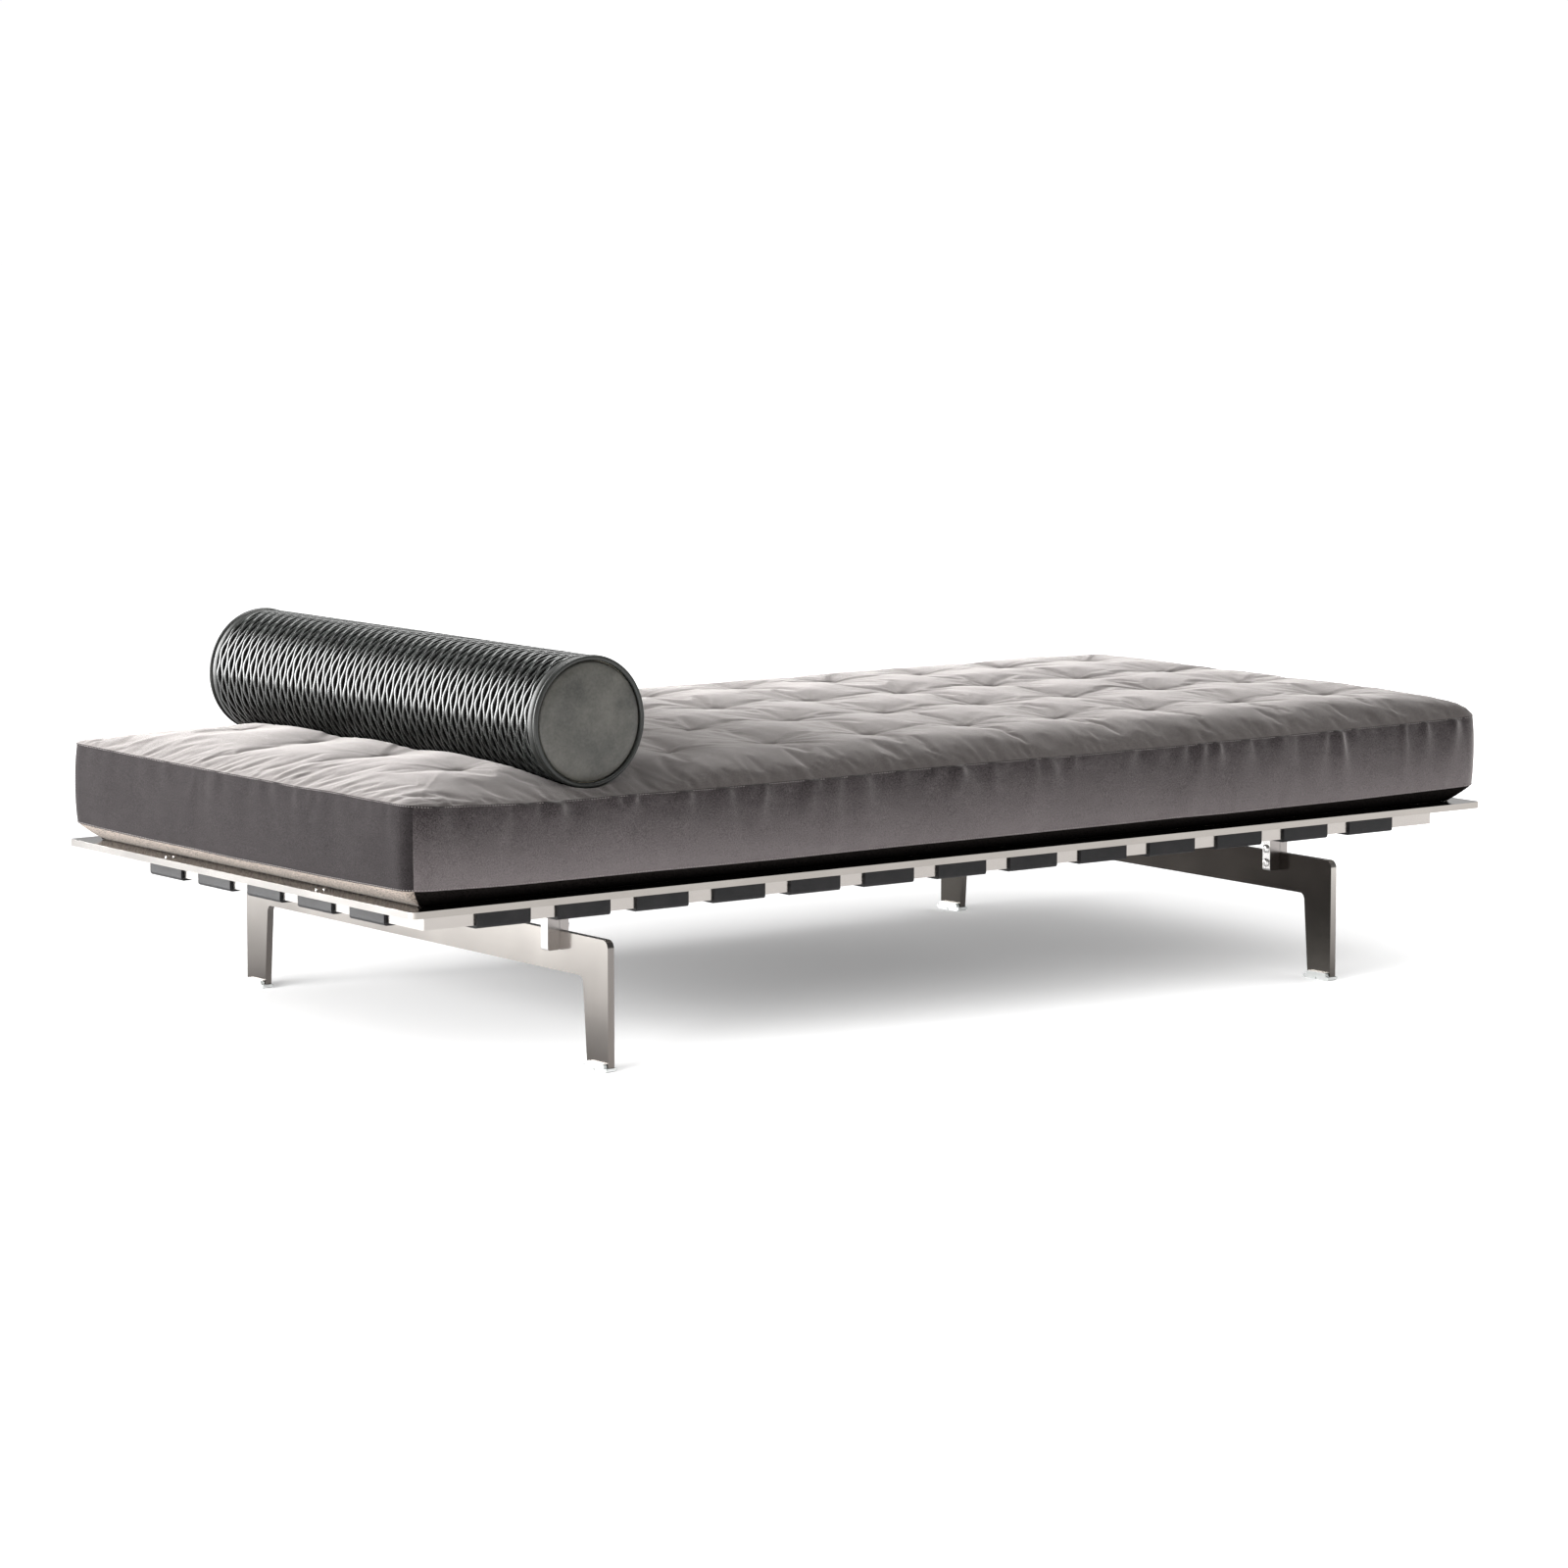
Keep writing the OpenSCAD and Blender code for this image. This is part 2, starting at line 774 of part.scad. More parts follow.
// A smooth leather end cap; s is -1 at the front and 1 at the rear
module bolster_cap(s) {
    r = bolster_r - piping_d - cover_fit;
    y = sleeve_y + cover_fit;
    rise = bolster_len / 2 - y;
    color("gray")
        on_bolster_axis()
            scale([1, 1, s])
                rotate_extrude()
                    polygon([[0, y], [r, y], [r, y + rise - 4], [r - 6, y + rise - 1.5],
                        [r - 22, y + rise - 0.4], [0, y + rise]]);
}

// The two rings of piping cord
module bolster_piping() {
    color("darkslategray")
        on_bolster_axis()
            for (s = [-1, 1])
                translate([0, 0, s * piping_y])
                    rotate_extrude()
                        translate([bolster_r - piping_d / 2, 0])
                            circle(d = piping_d);
}

// ---------------------------------------------------------------- the part

side_plate(-1);  // side_plate_front
side_plate(1);  // side_plate_rear
end_plate(-1);  // end_plate_head
end_plate(1);  // end_plate_foot
side_rail(-1);  // side_rail_front
side_rail(1);  // side_rail_rear
end_rail(-1);  // end_rail_head
end_rail(1);  // end_rail_foot
cross_strap(1);  // cross_strap_1
cross_strap(2);  // cross_strap_2
cross_strap(3);  // cross_strap_3
cross_strap(4);  // cross_strap_4
cross_strap(5);  // cross_strap_5
cross_strap(6);  // cross_strap_6
cross_strap(7);  // cross_strap_7
cross_strap(8);  // cross_strap_8
cross_strap(9);  // cross_strap_9
cross_strap(10);  // cross_strap_10
cross_strap(11);  // cross_strap_11
cross_strap(12);  // cross_strap_12
cross_strap(13);  // cross_strap_13
long_strap(1);  // long_strap_1
long_strap(2);  // long_strap_2
long_strap(3);  // long_strap_3
long_strap(4);  // long_strap_4
long_strap(5);  // long_strap_5
side_strap_screws();
end_strap_screws();
plate_screws();
mattress_stops();
leg_plate(leg_head_x);  // leg_plate_head
leg_plate(leg_foot_x);  // leg_plate_foot
clamp_block(leg_head_x, -1, true);  // clamp_block_head_front
clamp_block(leg_head_x, 1, true);  // clamp_block_head_rear
clamp_block(leg_foot_x, -1, false);  // clamp_block_foot_front
clamp_block(leg_foot_x, 1, false);  // clamp_block_foot_rear
clamp_jaw(leg_head_x, -1);  // clamp_jaw_head_front
clamp_jaw(leg_head_x, 1);  // clamp_jaw_head_rear
clamp_jaw(leg_foot_x, -1);  // clamp_jaw_foot_front
clamp_jaw(leg_foot_x, 1);  // clamp_jaw_foot_rear
clamp_bolts();
clamp_hanger_screws();
glide(leg_head_x, -1);  // glide_head_front
glide(leg_head_x, 1);  // glide_head_rear
glide(leg_foot_x, -1);  // glide_foot_front
glide(leg_foot_x, 1);  // glide_foot_rear
glide_screws();
mattress_core();
mattress_top();
mattress_border();
mattress_underside();
bolster_core();
bolster_sleeve();
bolster_cap(-1);  // bolster_cap_front
bolster_cap(1);  // bolster_cap_rear
bolster_piping();
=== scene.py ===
import json
import math

import bmesh
import bpy
import numpy as np
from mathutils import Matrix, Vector

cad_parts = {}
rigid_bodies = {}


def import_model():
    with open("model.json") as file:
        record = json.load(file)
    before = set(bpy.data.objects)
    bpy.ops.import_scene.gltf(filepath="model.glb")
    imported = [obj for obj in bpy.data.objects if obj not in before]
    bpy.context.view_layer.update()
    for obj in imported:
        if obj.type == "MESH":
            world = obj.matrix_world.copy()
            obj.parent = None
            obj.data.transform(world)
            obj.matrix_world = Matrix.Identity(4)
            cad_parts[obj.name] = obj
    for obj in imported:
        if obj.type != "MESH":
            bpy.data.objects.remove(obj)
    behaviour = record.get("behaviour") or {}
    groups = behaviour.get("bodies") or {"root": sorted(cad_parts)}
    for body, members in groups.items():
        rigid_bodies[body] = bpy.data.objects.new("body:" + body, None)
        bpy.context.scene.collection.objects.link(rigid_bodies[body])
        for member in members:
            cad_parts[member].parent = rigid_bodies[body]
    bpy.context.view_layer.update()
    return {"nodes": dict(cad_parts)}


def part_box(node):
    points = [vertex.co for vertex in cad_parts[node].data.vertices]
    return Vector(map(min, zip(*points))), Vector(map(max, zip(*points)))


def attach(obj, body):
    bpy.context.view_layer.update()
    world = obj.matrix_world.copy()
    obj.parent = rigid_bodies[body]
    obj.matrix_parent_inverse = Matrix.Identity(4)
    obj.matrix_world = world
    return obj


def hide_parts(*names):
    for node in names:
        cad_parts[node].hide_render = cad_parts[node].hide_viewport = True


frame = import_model()
MM = 0.001


# ---------------------------------------------------------------- camera, light and floor

CAMERA_PLACE = (-5.131, -6.887, 1.387)
CAMERA_YAW = 36.6      # degrees from +Y towards +X
CAMERA_PITCH = 7.16    # degrees below the horizon
CAMERA_LENS = 129.45   # mm on a 36 mm sensor
SKY_STRENGTH = 0.22
HORIZON_STRENGTH = 1.02
HORIZON_RANGE = (0.035, 0.20)   # sine of the elevation over which the horizon fades to sky
FLOOR_GLOW = 0.24
FLOOR_GLOW_RANGE = (1.3, 3.6)   # metres from the middle, from FLOOR_GLOW to full white


def make_camera():
    data = bpy.data.cameras.new("camera")
    data.lens = CAMERA_LENS
    data.sensor_width = 36
    data.clip_end = 100
    camera = bpy.data.objects.new("camera", data)
    camera.location = CAMERA_PLACE
    camera.rotation_euler = (math.radians(90 - CAMERA_PITCH), 0, math.radians(-CAMERA_YAW))
    bpy.context.scene.collection.objects.link(camera)
    bpy.context.scene.camera = camera


def area_light(name, place, target, size, watts, only=None, but=None):
    """A softbox. With only, it lights just those objects; with but, all except those."""
    data = bpy.data.lights.new(name, "AREA")
    data.shape = "RECTANGLE"
    data.size, data.size_y = size
    data.energy = watts
    light = bpy.data.objects.new(name, data)
    light.location = place
    light.rotation_euler = (Vector(target) - Vector(place)).to_track_quat("-Z", "Y").to_euler()
    bpy.context.scene.collection.objects.link(light)
    if only or but:
        lit = bpy.data.collections.new(name + "_lights")
        for piece in only or but:
            lit.objects.link(piece)
        light.light_linking.receiver_collection = lit
        if but:
            for member in lit.collection_objects:
                member.light_linking.link_state = "EXCLUDE"


def make_world():
    """A dim sky over a white horizon, so that shiny pieces show both bright and dark."""
    world = bpy.data.worlds.new("studio")
    bpy.context.scene.world = world
    world.use_nodes = True
    nodes, links = world.node_tree.nodes, world.node_tree.links
    background = nodes["Background"]
    where = nodes.new("ShaderNodeTexCoord")
    parts = nodes.new("ShaderNodeSeparateXYZ")
    ramp = nodes.new("ShaderNodeMapRange")
    ramp.interpolation_type = "SMOOTHSTEP"
    ramp.inputs["From Min"].default_value = HORIZON_RANGE[0]
    ramp.inputs["From Max"].default_value = HORIZON_RANGE[1]
    ramp.inputs["To Min"].default_value = HORIZON_STRENGTH
    ramp.inputs["To Max"].default_value = SKY_STRENGTH
    links.new(where.outputs["Generated"], parts.inputs[0])
    links.new(parts.outputs["Z"], ramp.inputs["Value"])
    links.new(ramp.outputs["Result"], background.inputs["Strength"])
    background.inputs["Color"].default_value = (1, 1, 1, 1)


def make_floor():
    bpy.ops.mesh.primitive_plane_add(size=60, location=(0, 0, 0))
    floor = bpy.context.object
    floor.name = "floor"
    floor.data.materials.append(floor_material())
    return floor


# ---------------------------------------------------------------- materials


class Paint:
    """A node material in the making. Texture places are the object's own, in metres."""

    def __init__(self, name, roughness=0.5, metallic=0.0, colour=(0.8, 0.8, 0.8)):
        self.material = bpy.data.materials.new(name)
        self.material.use_nodes = True
        self.nodes = self.material.node_tree.nodes
        self.links = self.material.node_tree.links
        self.shader = self.nodes["Principled BSDF"]
        self.set("Roughness", roughness)
        self.set("Metallic", metallic)
        self.set("Base Color", (*colour, 1))
        self.where = self.nodes.new("ShaderNodeTexCoord").outputs["Object"]
        self.height = None

    def set(self, socket, value):
        self.shader.inputs[socket].default_value = value

    def stretched(self, scale):
        """The object's own coordinates times scale along X, Y and Z."""
        node = self.nodes.new("ShaderNodeMapping")
        node.inputs["Scale"].default_value = scale
        self.links.new(self.where, node.inputs["Vector"])
        return node.outputs["Vector"]

    def noise(self, per_metre, detail=3.0, rough=0.5):
        """Noise from 0 to 1; per_metre is how many features lie along a metre of X, Y and Z."""
        if not hasattr(per_metre, "__len__"):
            per_metre = (per_metre,) * 3
        node = self.nodes.new("ShaderNodeTexNoise")
        node.inputs["Scale"].default_value = 1
        node.inputs["Detail"].default_value = detail
        node.inputs["Roughness"].default_value = rough
        self.links.new(self.stretched(per_metre), node.inputs["Vector"])
        return node.outputs["Fac"]

    def cells(self, per_metre, feature="F1"):
        node = self.nodes.new("ShaderNodeTexVoronoi")
        node.feature = feature
        node.inputs["Scale"].default_value = per_metre
        self.links.new(self.where, node.inputs["Vector"])
        return node.outputs["Distance"]

    def ramp(self, value, low, high, to_low=0.0, to_high=1.0):
        node = self.nodes.new("ShaderNodeMapRange")
        for socket, number in zip(("From Min", "From Max", "To Min", "To Max"),
                                  (low, high, to_low, to_high)):
            node.inputs[socket].default_value = number
        self.links.new(value, node.inputs["Value"])
        return node.outputs["Result"]

    def sum(self, a, b, weight_b=1.0):
        node = self.nodes.new("ShaderNodeMath")
        node.operation = "MULTIPLY_ADD"
        self.links.new(b, node.inputs[0])
        node.inputs[1].default_value = weight_b
        self.links.new(a, node.inputs[2])
        return node.outputs["Value"]

    def mix(self, factor, a, b):
        """A colour between a and b, which are colours or sockets."""
        node = self.nodes.new("ShaderNodeMix")
        node.data_type = "RGBA"
        self.links.new(factor, node.inputs["Factor"])
        for socket, value in ((node.inputs[6], a), (node.inputs[7], b)):
            if isinstance(value, tuple):
                socket.default_value = (*value, 1)
            else:
                self.links.new(value, socket)
        return node.outputs[2]

    def colour(self, socket):
        self.links.new(socket, self.shader.inputs["Base Color"])

    def roughness(self, socket):
        self.links.new(socket, self.shader.inputs["Roughness"])

    def bump(self, value, distance, strength=1.0):
        """Adds a bump of that height in metres over what is there already."""
        node = self.nodes.new("ShaderNodeBump")
        node.inputs["Distance"].default_value = distance
        node.inputs["Strength"].default_value = strength
        self.links.new(value, node.inputs["Height"])
        if self.height is not None:
            self.links.new(self.height, node.inputs["Normal"])
        self.height = node.outputs["Normal"]
        self.links.new(self.height, self.shader.inputs["Normal"])

    def height_above(self, low, high, to_low, to_high):
        """A value that changes from to_low to to_high between two heights of the object."""
        parts = self.nodes.new("ShaderNodeSeparateXYZ")
        self.links.new(self.where, parts.inputs[0])
        return self.ramp(parts.outputs["Z"], low, high, to_low, to_high)


def floor_material():
    """White and glowing, a painted light: the glow lifts the shadow under the daybed near the
    middle and grows outwards so that the floor fades into the horizon.
    """
    paint = Paint("floor_white", roughness=0.95, colour=(0.9, 0.9, 0.9))
    paint.set("Specular IOR Level", 0.0)
    paint.set("Emission Color", (1, 1, 1, 1))
    reach = paint.nodes.new("ShaderNodeVectorMath")
    reach.operation = "LENGTH"
    paint.links.new(paint.where, reach.inputs[0])
    glow = paint.ramp(reach.outputs["Value"], *FLOOR_GLOW_RANGE, FLOOR_GLOW, 1.0)
    paint.links.new(glow, paint.shader.inputs["Emission Strength"])
    return paint.material


# Heights over which a leg's painted reflection of the floor fades in.
LEG_PAINTED_REFLECTION_RANGE = (0.01, 0.20)   # metres above the floor


def steel_material(name, colour, roughness, grain, foot=None):
    """Polished nickel-toned steel; grain is how many brush lines per metre lie along X, Y, Z.
    foot is a painted reflection of the floor close to the leg: a tone painted in below the upper
    height of the range above, fully at its lower one."""
    paint = Paint(name, roughness, 1.0, colour)
    lines = paint.noise(grain, detail=4, rough=0.6)
    haze = paint.noise(9, detail=4, rough=0.55)
    shade = tuple(c * 0.9 for c in colour)
    tone = paint.mix(paint.ramp(haze, 0.35, 0.7), shade, colour)
    # Painted reflection: the tone changes towards the floor, darker or paler as the floor near
    # the leg is shaded or lit.
    if foot:
        tone = paint.mix(paint.height_above(*LEG_PAINTED_REFLECTION_RANGE, 1, 0), tone, foot)
    paint.colour(tone)
    both = paint.sum(paint.ramp(haze, 0.3, 0.75, roughness * 0.75, roughness * 1.25), lines, 0.06)
    paint.roughness(both)
    paint.bump(lines, 0.00002, 0.35)
    return paint.material


def strap_material():
    """Thick black saddle leather: fine pores, soft wear and a dull shine."""
    paint = Paint("strap_leather", roughness=0.5)
    paint.set("Specular IOR Level", 0.22)
    pores = paint.cells(1500)
    mottle = paint.noise(30, detail=5)
    paint.colour(paint.mix(paint.ramp(mottle, 0.35, 0.75), (0.006, 0.006, 0.007),
                           (0.018, 0.017, 0.018)))
    paint.roughness(paint.ramp(mottle, 0.3, 0.7, 0.42, 0.58))
    paint.bump(paint.ramp(pores, 0.0, 0.5), 0.00012, 0.5)
    paint.bump(paint.noise(320, detail=4), 0.0002, 0.4)
    return paint.material


def velvet_material(name, dark, pale, sheen, painted_low_light=0.0):
    """Short cotton velvet: dark facing on, pale where the pile is seen from the side.
    The last argument is a painted light and shade: how much paler the cloth is painted towards
    the mattress's lower seam, and darker towards its upper one, in place of light thrown up from
    the floor."""
    paint = Paint(name, roughness=0.9)
    grain = paint.noise(620, detail=3, rough=0.7)
    nap = paint.noise((26, 26, 60), detail=4, rough=0.6)
    cloud = paint.noise(5, detail=3)
    tone = paint.sum(paint.ramp(grain, 0.25, 0.75, 0.0, 0.7), nap, 0.2)
    tone = paint.sum(tone, cloud, 0.3)
    # Painted light and shade: paler towards the lower seam, darker towards the upper one.
    if painted_low_light:
        tone = paint.sum(tone, paint.height_above(SEAM_LOW, SEAM_HIGH, 1, -1), painted_low_light)
    paint.colour(paint.mix(paint.ramp(tone, 0.15, 1.0), dark, pale))
    paint.set("Sheen Weight", sheen)
    paint.set("Sheen Roughness", 0.38)
    paint.set("Sheen Tint", (1.0, 0.955, 0.93, 1))
    paint.set("Specular IOR Level", 0.1)
    paint.bump(grain, 0.0005, 0.6)
    paint.bump(nap, 0.0010, 0.3)
    return paint.material


def under_material(name, dark, pale, sheen):
    """Close weave of pale and dark threads."""
    paint = Paint(name, roughness=0.85)
    threads = paint.noise((360, 360, 420), detail=2, rough=0.7)
    fleck = paint.cells(500)
    paint.colour(paint.mix(paint.ramp(paint.sum(threads, fleck, 0.3), 0.48, 0.72),
                           dark, pale))
    paint.set("Sheen Weight", sheen)
    paint.set("Specular IOR Level", sheen)
    paint.bump(threads, 0.0008, 0.8)
    return paint.material


def thread_material(name, colour):
    paint = Paint(name, roughness=0.6)
    twist = paint.noise((2500, 2500, 2500), detail=1)
    paint.colour(paint.mix(twist, tuple(c * 0.6 for c in colour), colour))
    paint.bump(twist, 0.0002, 0.6)
    return paint.material


def woven_leather_material():
    """Waxed near-black leather with a smooth gloss, a little paler where it is worn."""
    paint = Paint("woven_leather", roughness=0.34)
    grain = paint.noise(420, detail=4, rough=0.6)
    wear = paint.noise(45, detail=4)
    paint.colour(paint.mix(paint.ramp(wear, 0.35, 0.7), (0.007, 0.008, 0.007),
                           (0.030, 0.034, 0.031)))
    paint.roughness(paint.ramp(grain, 0.3, 0.7, 0.22, 0.32))
    paint.set("Specular IOR Level", 0.62)
    paint.bump(grain, 0.00005, 0.2)
    return paint.material


def cut_edge_and_shade_material():
    """The matt black edges of the strips and the cloth under them, painted blacker than the
    leather as painted shade in the gaps between the strips.
    """
    paint = Paint("woven_leather_edge_painted_shade", roughness=0.85)
    fibres = paint.noise(900, detail=3)
    paint.colour(paint.mix(fibres, (0.002, 0.002, 0.002), (0.010, 0.011, 0.010)))
    paint.set("Specular IOR Level", 0.1)
    paint.bump(fibres, 0.0002, 0.5)
    return paint.material


def cap_leather_material():
    """Smooth calf leather, olive grey, with a fine grain and soft cloudy wear."""
    paint = Paint("cap_leather", roughness=0.45)
    pores = paint.cells(1300)
    cloud = paint.noise(16, detail=5, rough=0.6)
    fine = paint.noise(260, detail=4)
    paint.colour(paint.mix(paint.ramp(paint.sum(cloud, fine, 0.3), 0.45, 0.85),
                           (0.028, 0.0275, 0.0235), (0.100, 0.0965, 0.084)))
    paint.roughness(paint.ramp(cloud, 0.3, 0.7, 0.4, 0.56))
    paint.bump(paint.ramp(pores, 0.0, 0.5), 0.00015, 0.5)
    paint.bump(fine, 0.0002, 0.4)
    return paint.material


def piping_material():
    paint = Paint("piping_leather", roughness=0.42)
    paint.set("Specular IOR Level", 0.4)
    fine = paint.noise(500, detail=4)
    paint.colour(paint.mix(fine, (0.012, 0.013, 0.012), (0.030, 0.032, 0.029)))
    paint.bump(fine, 0.00015, 0.5)
    return paint.material


def clear_material():
    """Clear hard plastic with a trace of haze and scuffs."""
    paint = Paint("clear_plastic", roughness=0.08, colour=(0.93, 0.95, 0.94))
    paint.set("Transmission Weight", 0.45)
    paint.set("IOR", 1.49)
    scuff = paint.noise(220, detail=4)
    paint.roughness(paint.ramp(scuff, 0.4, 0.75, 0.05, 0.22))
    return paint.material


def foam_material():
    paint = Paint("foam", roughness=0.9, colour=(0.78, 0.72, 0.55))
    holes = paint.cells(600)
    paint.colour(paint.mix(paint.ramp(holes, 0.0, 0.6), (0.55, 0.48, 0.33), (0.80, 0.74, 0.58)))
    paint.bump(holes, 0.0008, 0.6)
    return paint.material


# ---------------------------------------------------------------- mesh helpers


def new_piece(name, verts, faces, material, body, smooth=True):
    """A mesh piece in the row frame, in metres, that rides on a body."""
    mesh = bpy.data.meshes.new(name)
    mesh.from_pydata([tuple(v) for v in verts], [], [tuple(f) for f in faces])
    mesh.validate()
    mesh.polygons.foreach_set("use_smooth", [smooth] * len(mesh.polygons))
    mesh.materials.append(material)
    piece = bpy.data.objects.new(name, mesh)
    bpy.context.scene.collection.objects.link(piece)
    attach(piece, body)
    return piece


def grid_faces(rows, columns, wrap_rows=False, wrap_columns=False, start=0):
    """Quads over a grid of points stored row by row."""
    down = rows if wrap_rows else rows - 1
    across = columns if wrap_columns else columns - 1
    i, j = np.meshgrid(np.arange(down), np.arange(across), indexing="ij")
    i2, j2 = (i + 1) % rows, (j + 1) % columns
    quads = np.stack([i * columns + j, i2 * columns + j, i2 * columns + j2, i * columns + j2],
                     axis=-1)
    return (quads.reshape(-1, 4) + start).tolist()


def revolve(profile, steps, centre):
    """Turns a profile of (radius, y) round an axis along Y; gives points and quads."""
    turn = np.linspace(0, 2 * math.pi, steps, endpoint=False)
    profile = np.array(profile)
    radius = profile[:, 0][:, None]
    x = centre[0] + radius * np.cos(turn)
    z = centre[1] + radius * np.sin(turn)
    y = np.repeat(profile[:, 1][:, None], steps, axis=1)
    points = np.stack([x, y, z], axis=-1).reshape(-1, 3)
    return points, grid_faces(len(profile), steps, wrap_columns=True)


def value_noise(x, y, seed):
    """Smooth noise from -1 to 1 over the plane, with features one unit apart."""
    rng = np.random.default_rng(seed)
    table = rng.uniform(-1, 1, (64, 64))
    xi, yi = np.floor(x).astype(int), np.floor(y).astype(int)
    fx, fy = x - xi, y - yi
    fx, fy = fx * fx * (3 - 2 * fx), fy * fy * (3 - 2 * fy)

    def at(a, b):
        return table[a % 64, b % 64]

    near = at(xi, yi) * (1 - fx) + at(xi + 1, yi) * fx
    far = at(xi, yi + 1) * (1 - fx) + at(xi + 1, yi + 1) * fx
    return near * (1 - fy) + far * fy


def bevelled_copy(node, name, material, width, segments=2, body="frame"):
    """The CAD node's own shape with its sharp edges eased, standing for the node."""
    source = frame["nodes"][node]
    mesh = source.data.copy()
    mesh.name = name
    work = bmesh.new()
    work.from_mesh(mesh)
    bmesh.ops.remove_doubles(work, verts=work.verts, dist=0.00001)
    bmesh.ops.dissolve_limit(work, angle_limit=math.radians(0.5), verts=work.verts,
                             edges=work.edges)
    work.to_mesh(mesh)
    work.free()
    mesh.materials.clear()
    mesh.materials.append(material)
    piece = bpy.data.objects.new(name, mesh)
    bpy.context.scene.collection.objects.link(piece)
    bevel = piece.modifiers.new("ease", "BEVEL")
    bevel.width = width
    bevel.segments = segments
    bevel.limit_method = "ANGLE"
    bevel.angle_limit = math.radians(40)
    for face in mesh.polygons:
        face.use_smooth = True
    level = piece.modifiers.new("level", "WEIGHTED_NORMAL")
    level.weight = 100
    apply_modifiers(piece)
    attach(piece, body)
    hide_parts(node)
    return piece


def apply_modifiers(piece):
    bpy.context.view_layer.update()
    graph = bpy.context.evaluated_depsgraph_get()
    done = bpy.data.meshes.new_from_object(piece.evaluated_get(graph))
    piece.modifiers.clear()
    piece.data = done


def paint_light_and_shade_by_direction(piece, material, axis):
    """Gives the faces that look along one axis, either way, their own material. This is painted
    light and shade:
    by direction it paints in brighter or darker tones that stand in for reflections and shade."""
    piece.data.materials.append(material)
    for face in piece.data.polygons:
        if abs(face.normal[axis]) > 0.72 * math.hypot(face.normal[0], face.normal[1]):
            face.material_index = 1


# ---------------------------------------------------------------- frame pieces


def make_frame():
    plate = steel_material("plate_steel", (0.30, 0.28, 0.26), 0.12, (3, 3, 900))
    # The plates' faces along X get a paler copy of the same steel: a painted reflection.
    plate_painted_bright_end = steel_material("plate_steel_painted_bright_end", (0.37, 0.355, 0.34), 0.12, (3, 3, 900))
    rail = steel_material("rail_steel", (0.38, 0.355, 0.335), 0.2, (6, 6, 700))
    # The rails' faces along X get a paler copy of the same steel: a painted reflection.
    rail_painted_bright_end = steel_material("rail_steel_painted_bright_end", (0.43, 0.415, 0.40), 0.2, (6, 6, 700))
    # The last tone of each leg steel is a painted reflection of the floor close to the leg.
    leg = steel_material("leg_steel", (0.43, 0.405, 0.38), 0.13, (500, 5, 500),
                         (0.10, 0.09, 0.083))
    # A darker copy of the leg steel for the head leg plate's faces along Y: a painted dark
    # reflection.
    leg_painted_dark_edge = steel_material("leg_steel_painted_dark_edge", (0.20, 0.185, 0.175), 0.16, (500, 500, 5),
                              (0.14, 0.125, 0.115))
    # A nearly black copy of the leg steel for the foot leg plate's faces along X: a painted
    # reflection of the shade under the daybed, paler towards the floor.
    leg_painted_dark_reflection = steel_material("leg_steel_painted_dark_reflection", (0.022, 0.018, 0.016), 0.13, (500, 5, 500),
                              (0.085, 0.078, 0.070))
    clamp = steel_material("clamp_steel", (0.56, 0.55, 0.54), 0.18, (400, 400, 6))
    # A darker copy of the clamp steel for the clamps' faces along Y: a painted shade.
    clamp_painted_dark_side = steel_material("clamp_steel_painted_dark_side", (0.28, 0.26, 0.25), 0.2, (400, 400, 6))
    bolt = steel_material("bolt_steel", (0.70, 0.69, 0.68), 0.22, (60, 60, 60))
    strap = strap_material()
    clear = clear_material()
    for node, source in frame["nodes"].items():
        if node.startswith(("side_plate", "end_plate")):
            piece = bevelled_copy(node, node + "_steel", plate, 0.9 * MM)
            paint_light_and_shade_by_direction(piece, plate_painted_bright_end, 0)
        elif node.startswith(("side_rail", "end_rail")):
            piece = bevelled_copy(node, node + "_tube", rail, 0.8 * MM)
            paint_light_and_shade_by_direction(piece, rail_painted_bright_end, 0)
        elif node.startswith("leg_plate"):
            piece = bevelled_copy(node, node + "_steel", leg, 1.3 * MM, 3)
            # Painted reflections: the foot leg plate's faces along X are painted dark, the head
            # leg plate's edges along Y darker.
            if node.endswith("foot"):
                paint_light_and_shade_by_direction(piece, leg_painted_dark_reflection, 0)
            else:
                paint_light_and_shade_by_direction(piece, leg_painted_dark_edge, 1)
        elif node.startswith(("clamp_block", "clamp_jaw")):
            piece = bevelled_copy(node, node + "_steel", clamp, 1.0 * MM)
            paint_light_and_shade_by_direction(piece, clamp_painted_dark_side, 1)
        elif node.startswith(("cross_strap", "long_strap")):
            bevelled_copy(node, node + "_leather", strap, 1.0 * MM)
        elif node.startswith("glide_") and node != "glide_screws":
            bevelled_copy(node, node + "_cap", clear, 0.8 * MM)
        elif node.endswith(("screws", "bolts", "stops")):
            source.data.materials.clear()
            source.data.materials.append(bolt)


# ---------------------------------------------------------------- mattress

border_low, border_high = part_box("mattress_border")
HALF_X = border_high.x
HALF_Y = border_high.y
CORNER_R = 35 * MM
SEAM_HIGH = 387 * MM
SEAM_LOW = border_low.z - 2 * MM
CROWN_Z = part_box("mattress_top")[1].z + 4 * MM
TUFT_ROWS = 4
TUFT_COLUMNS = 10
TUFT_PITCH_X = 181 * MM
TUFT_PITCH_Y = 203 * MM
TUFT_DRIFT = 0.04      # how far the tufts run out of square, per unit of width
TUFT_SHIFT = 4 * MM     # how far the whole grid of tufts lies off centre, both ways
TUFT_DEPTH = 2.6 * MM
TUFT_REACH = 30 * MM
SIM_STEP = 6.5 * MM
SIM_FRAMES = 24
SIM_MOVE_MAX = 24 * MM
STITCH_PITCH = 4.6 * MM
STITCH_INSET = -0.6 * MM
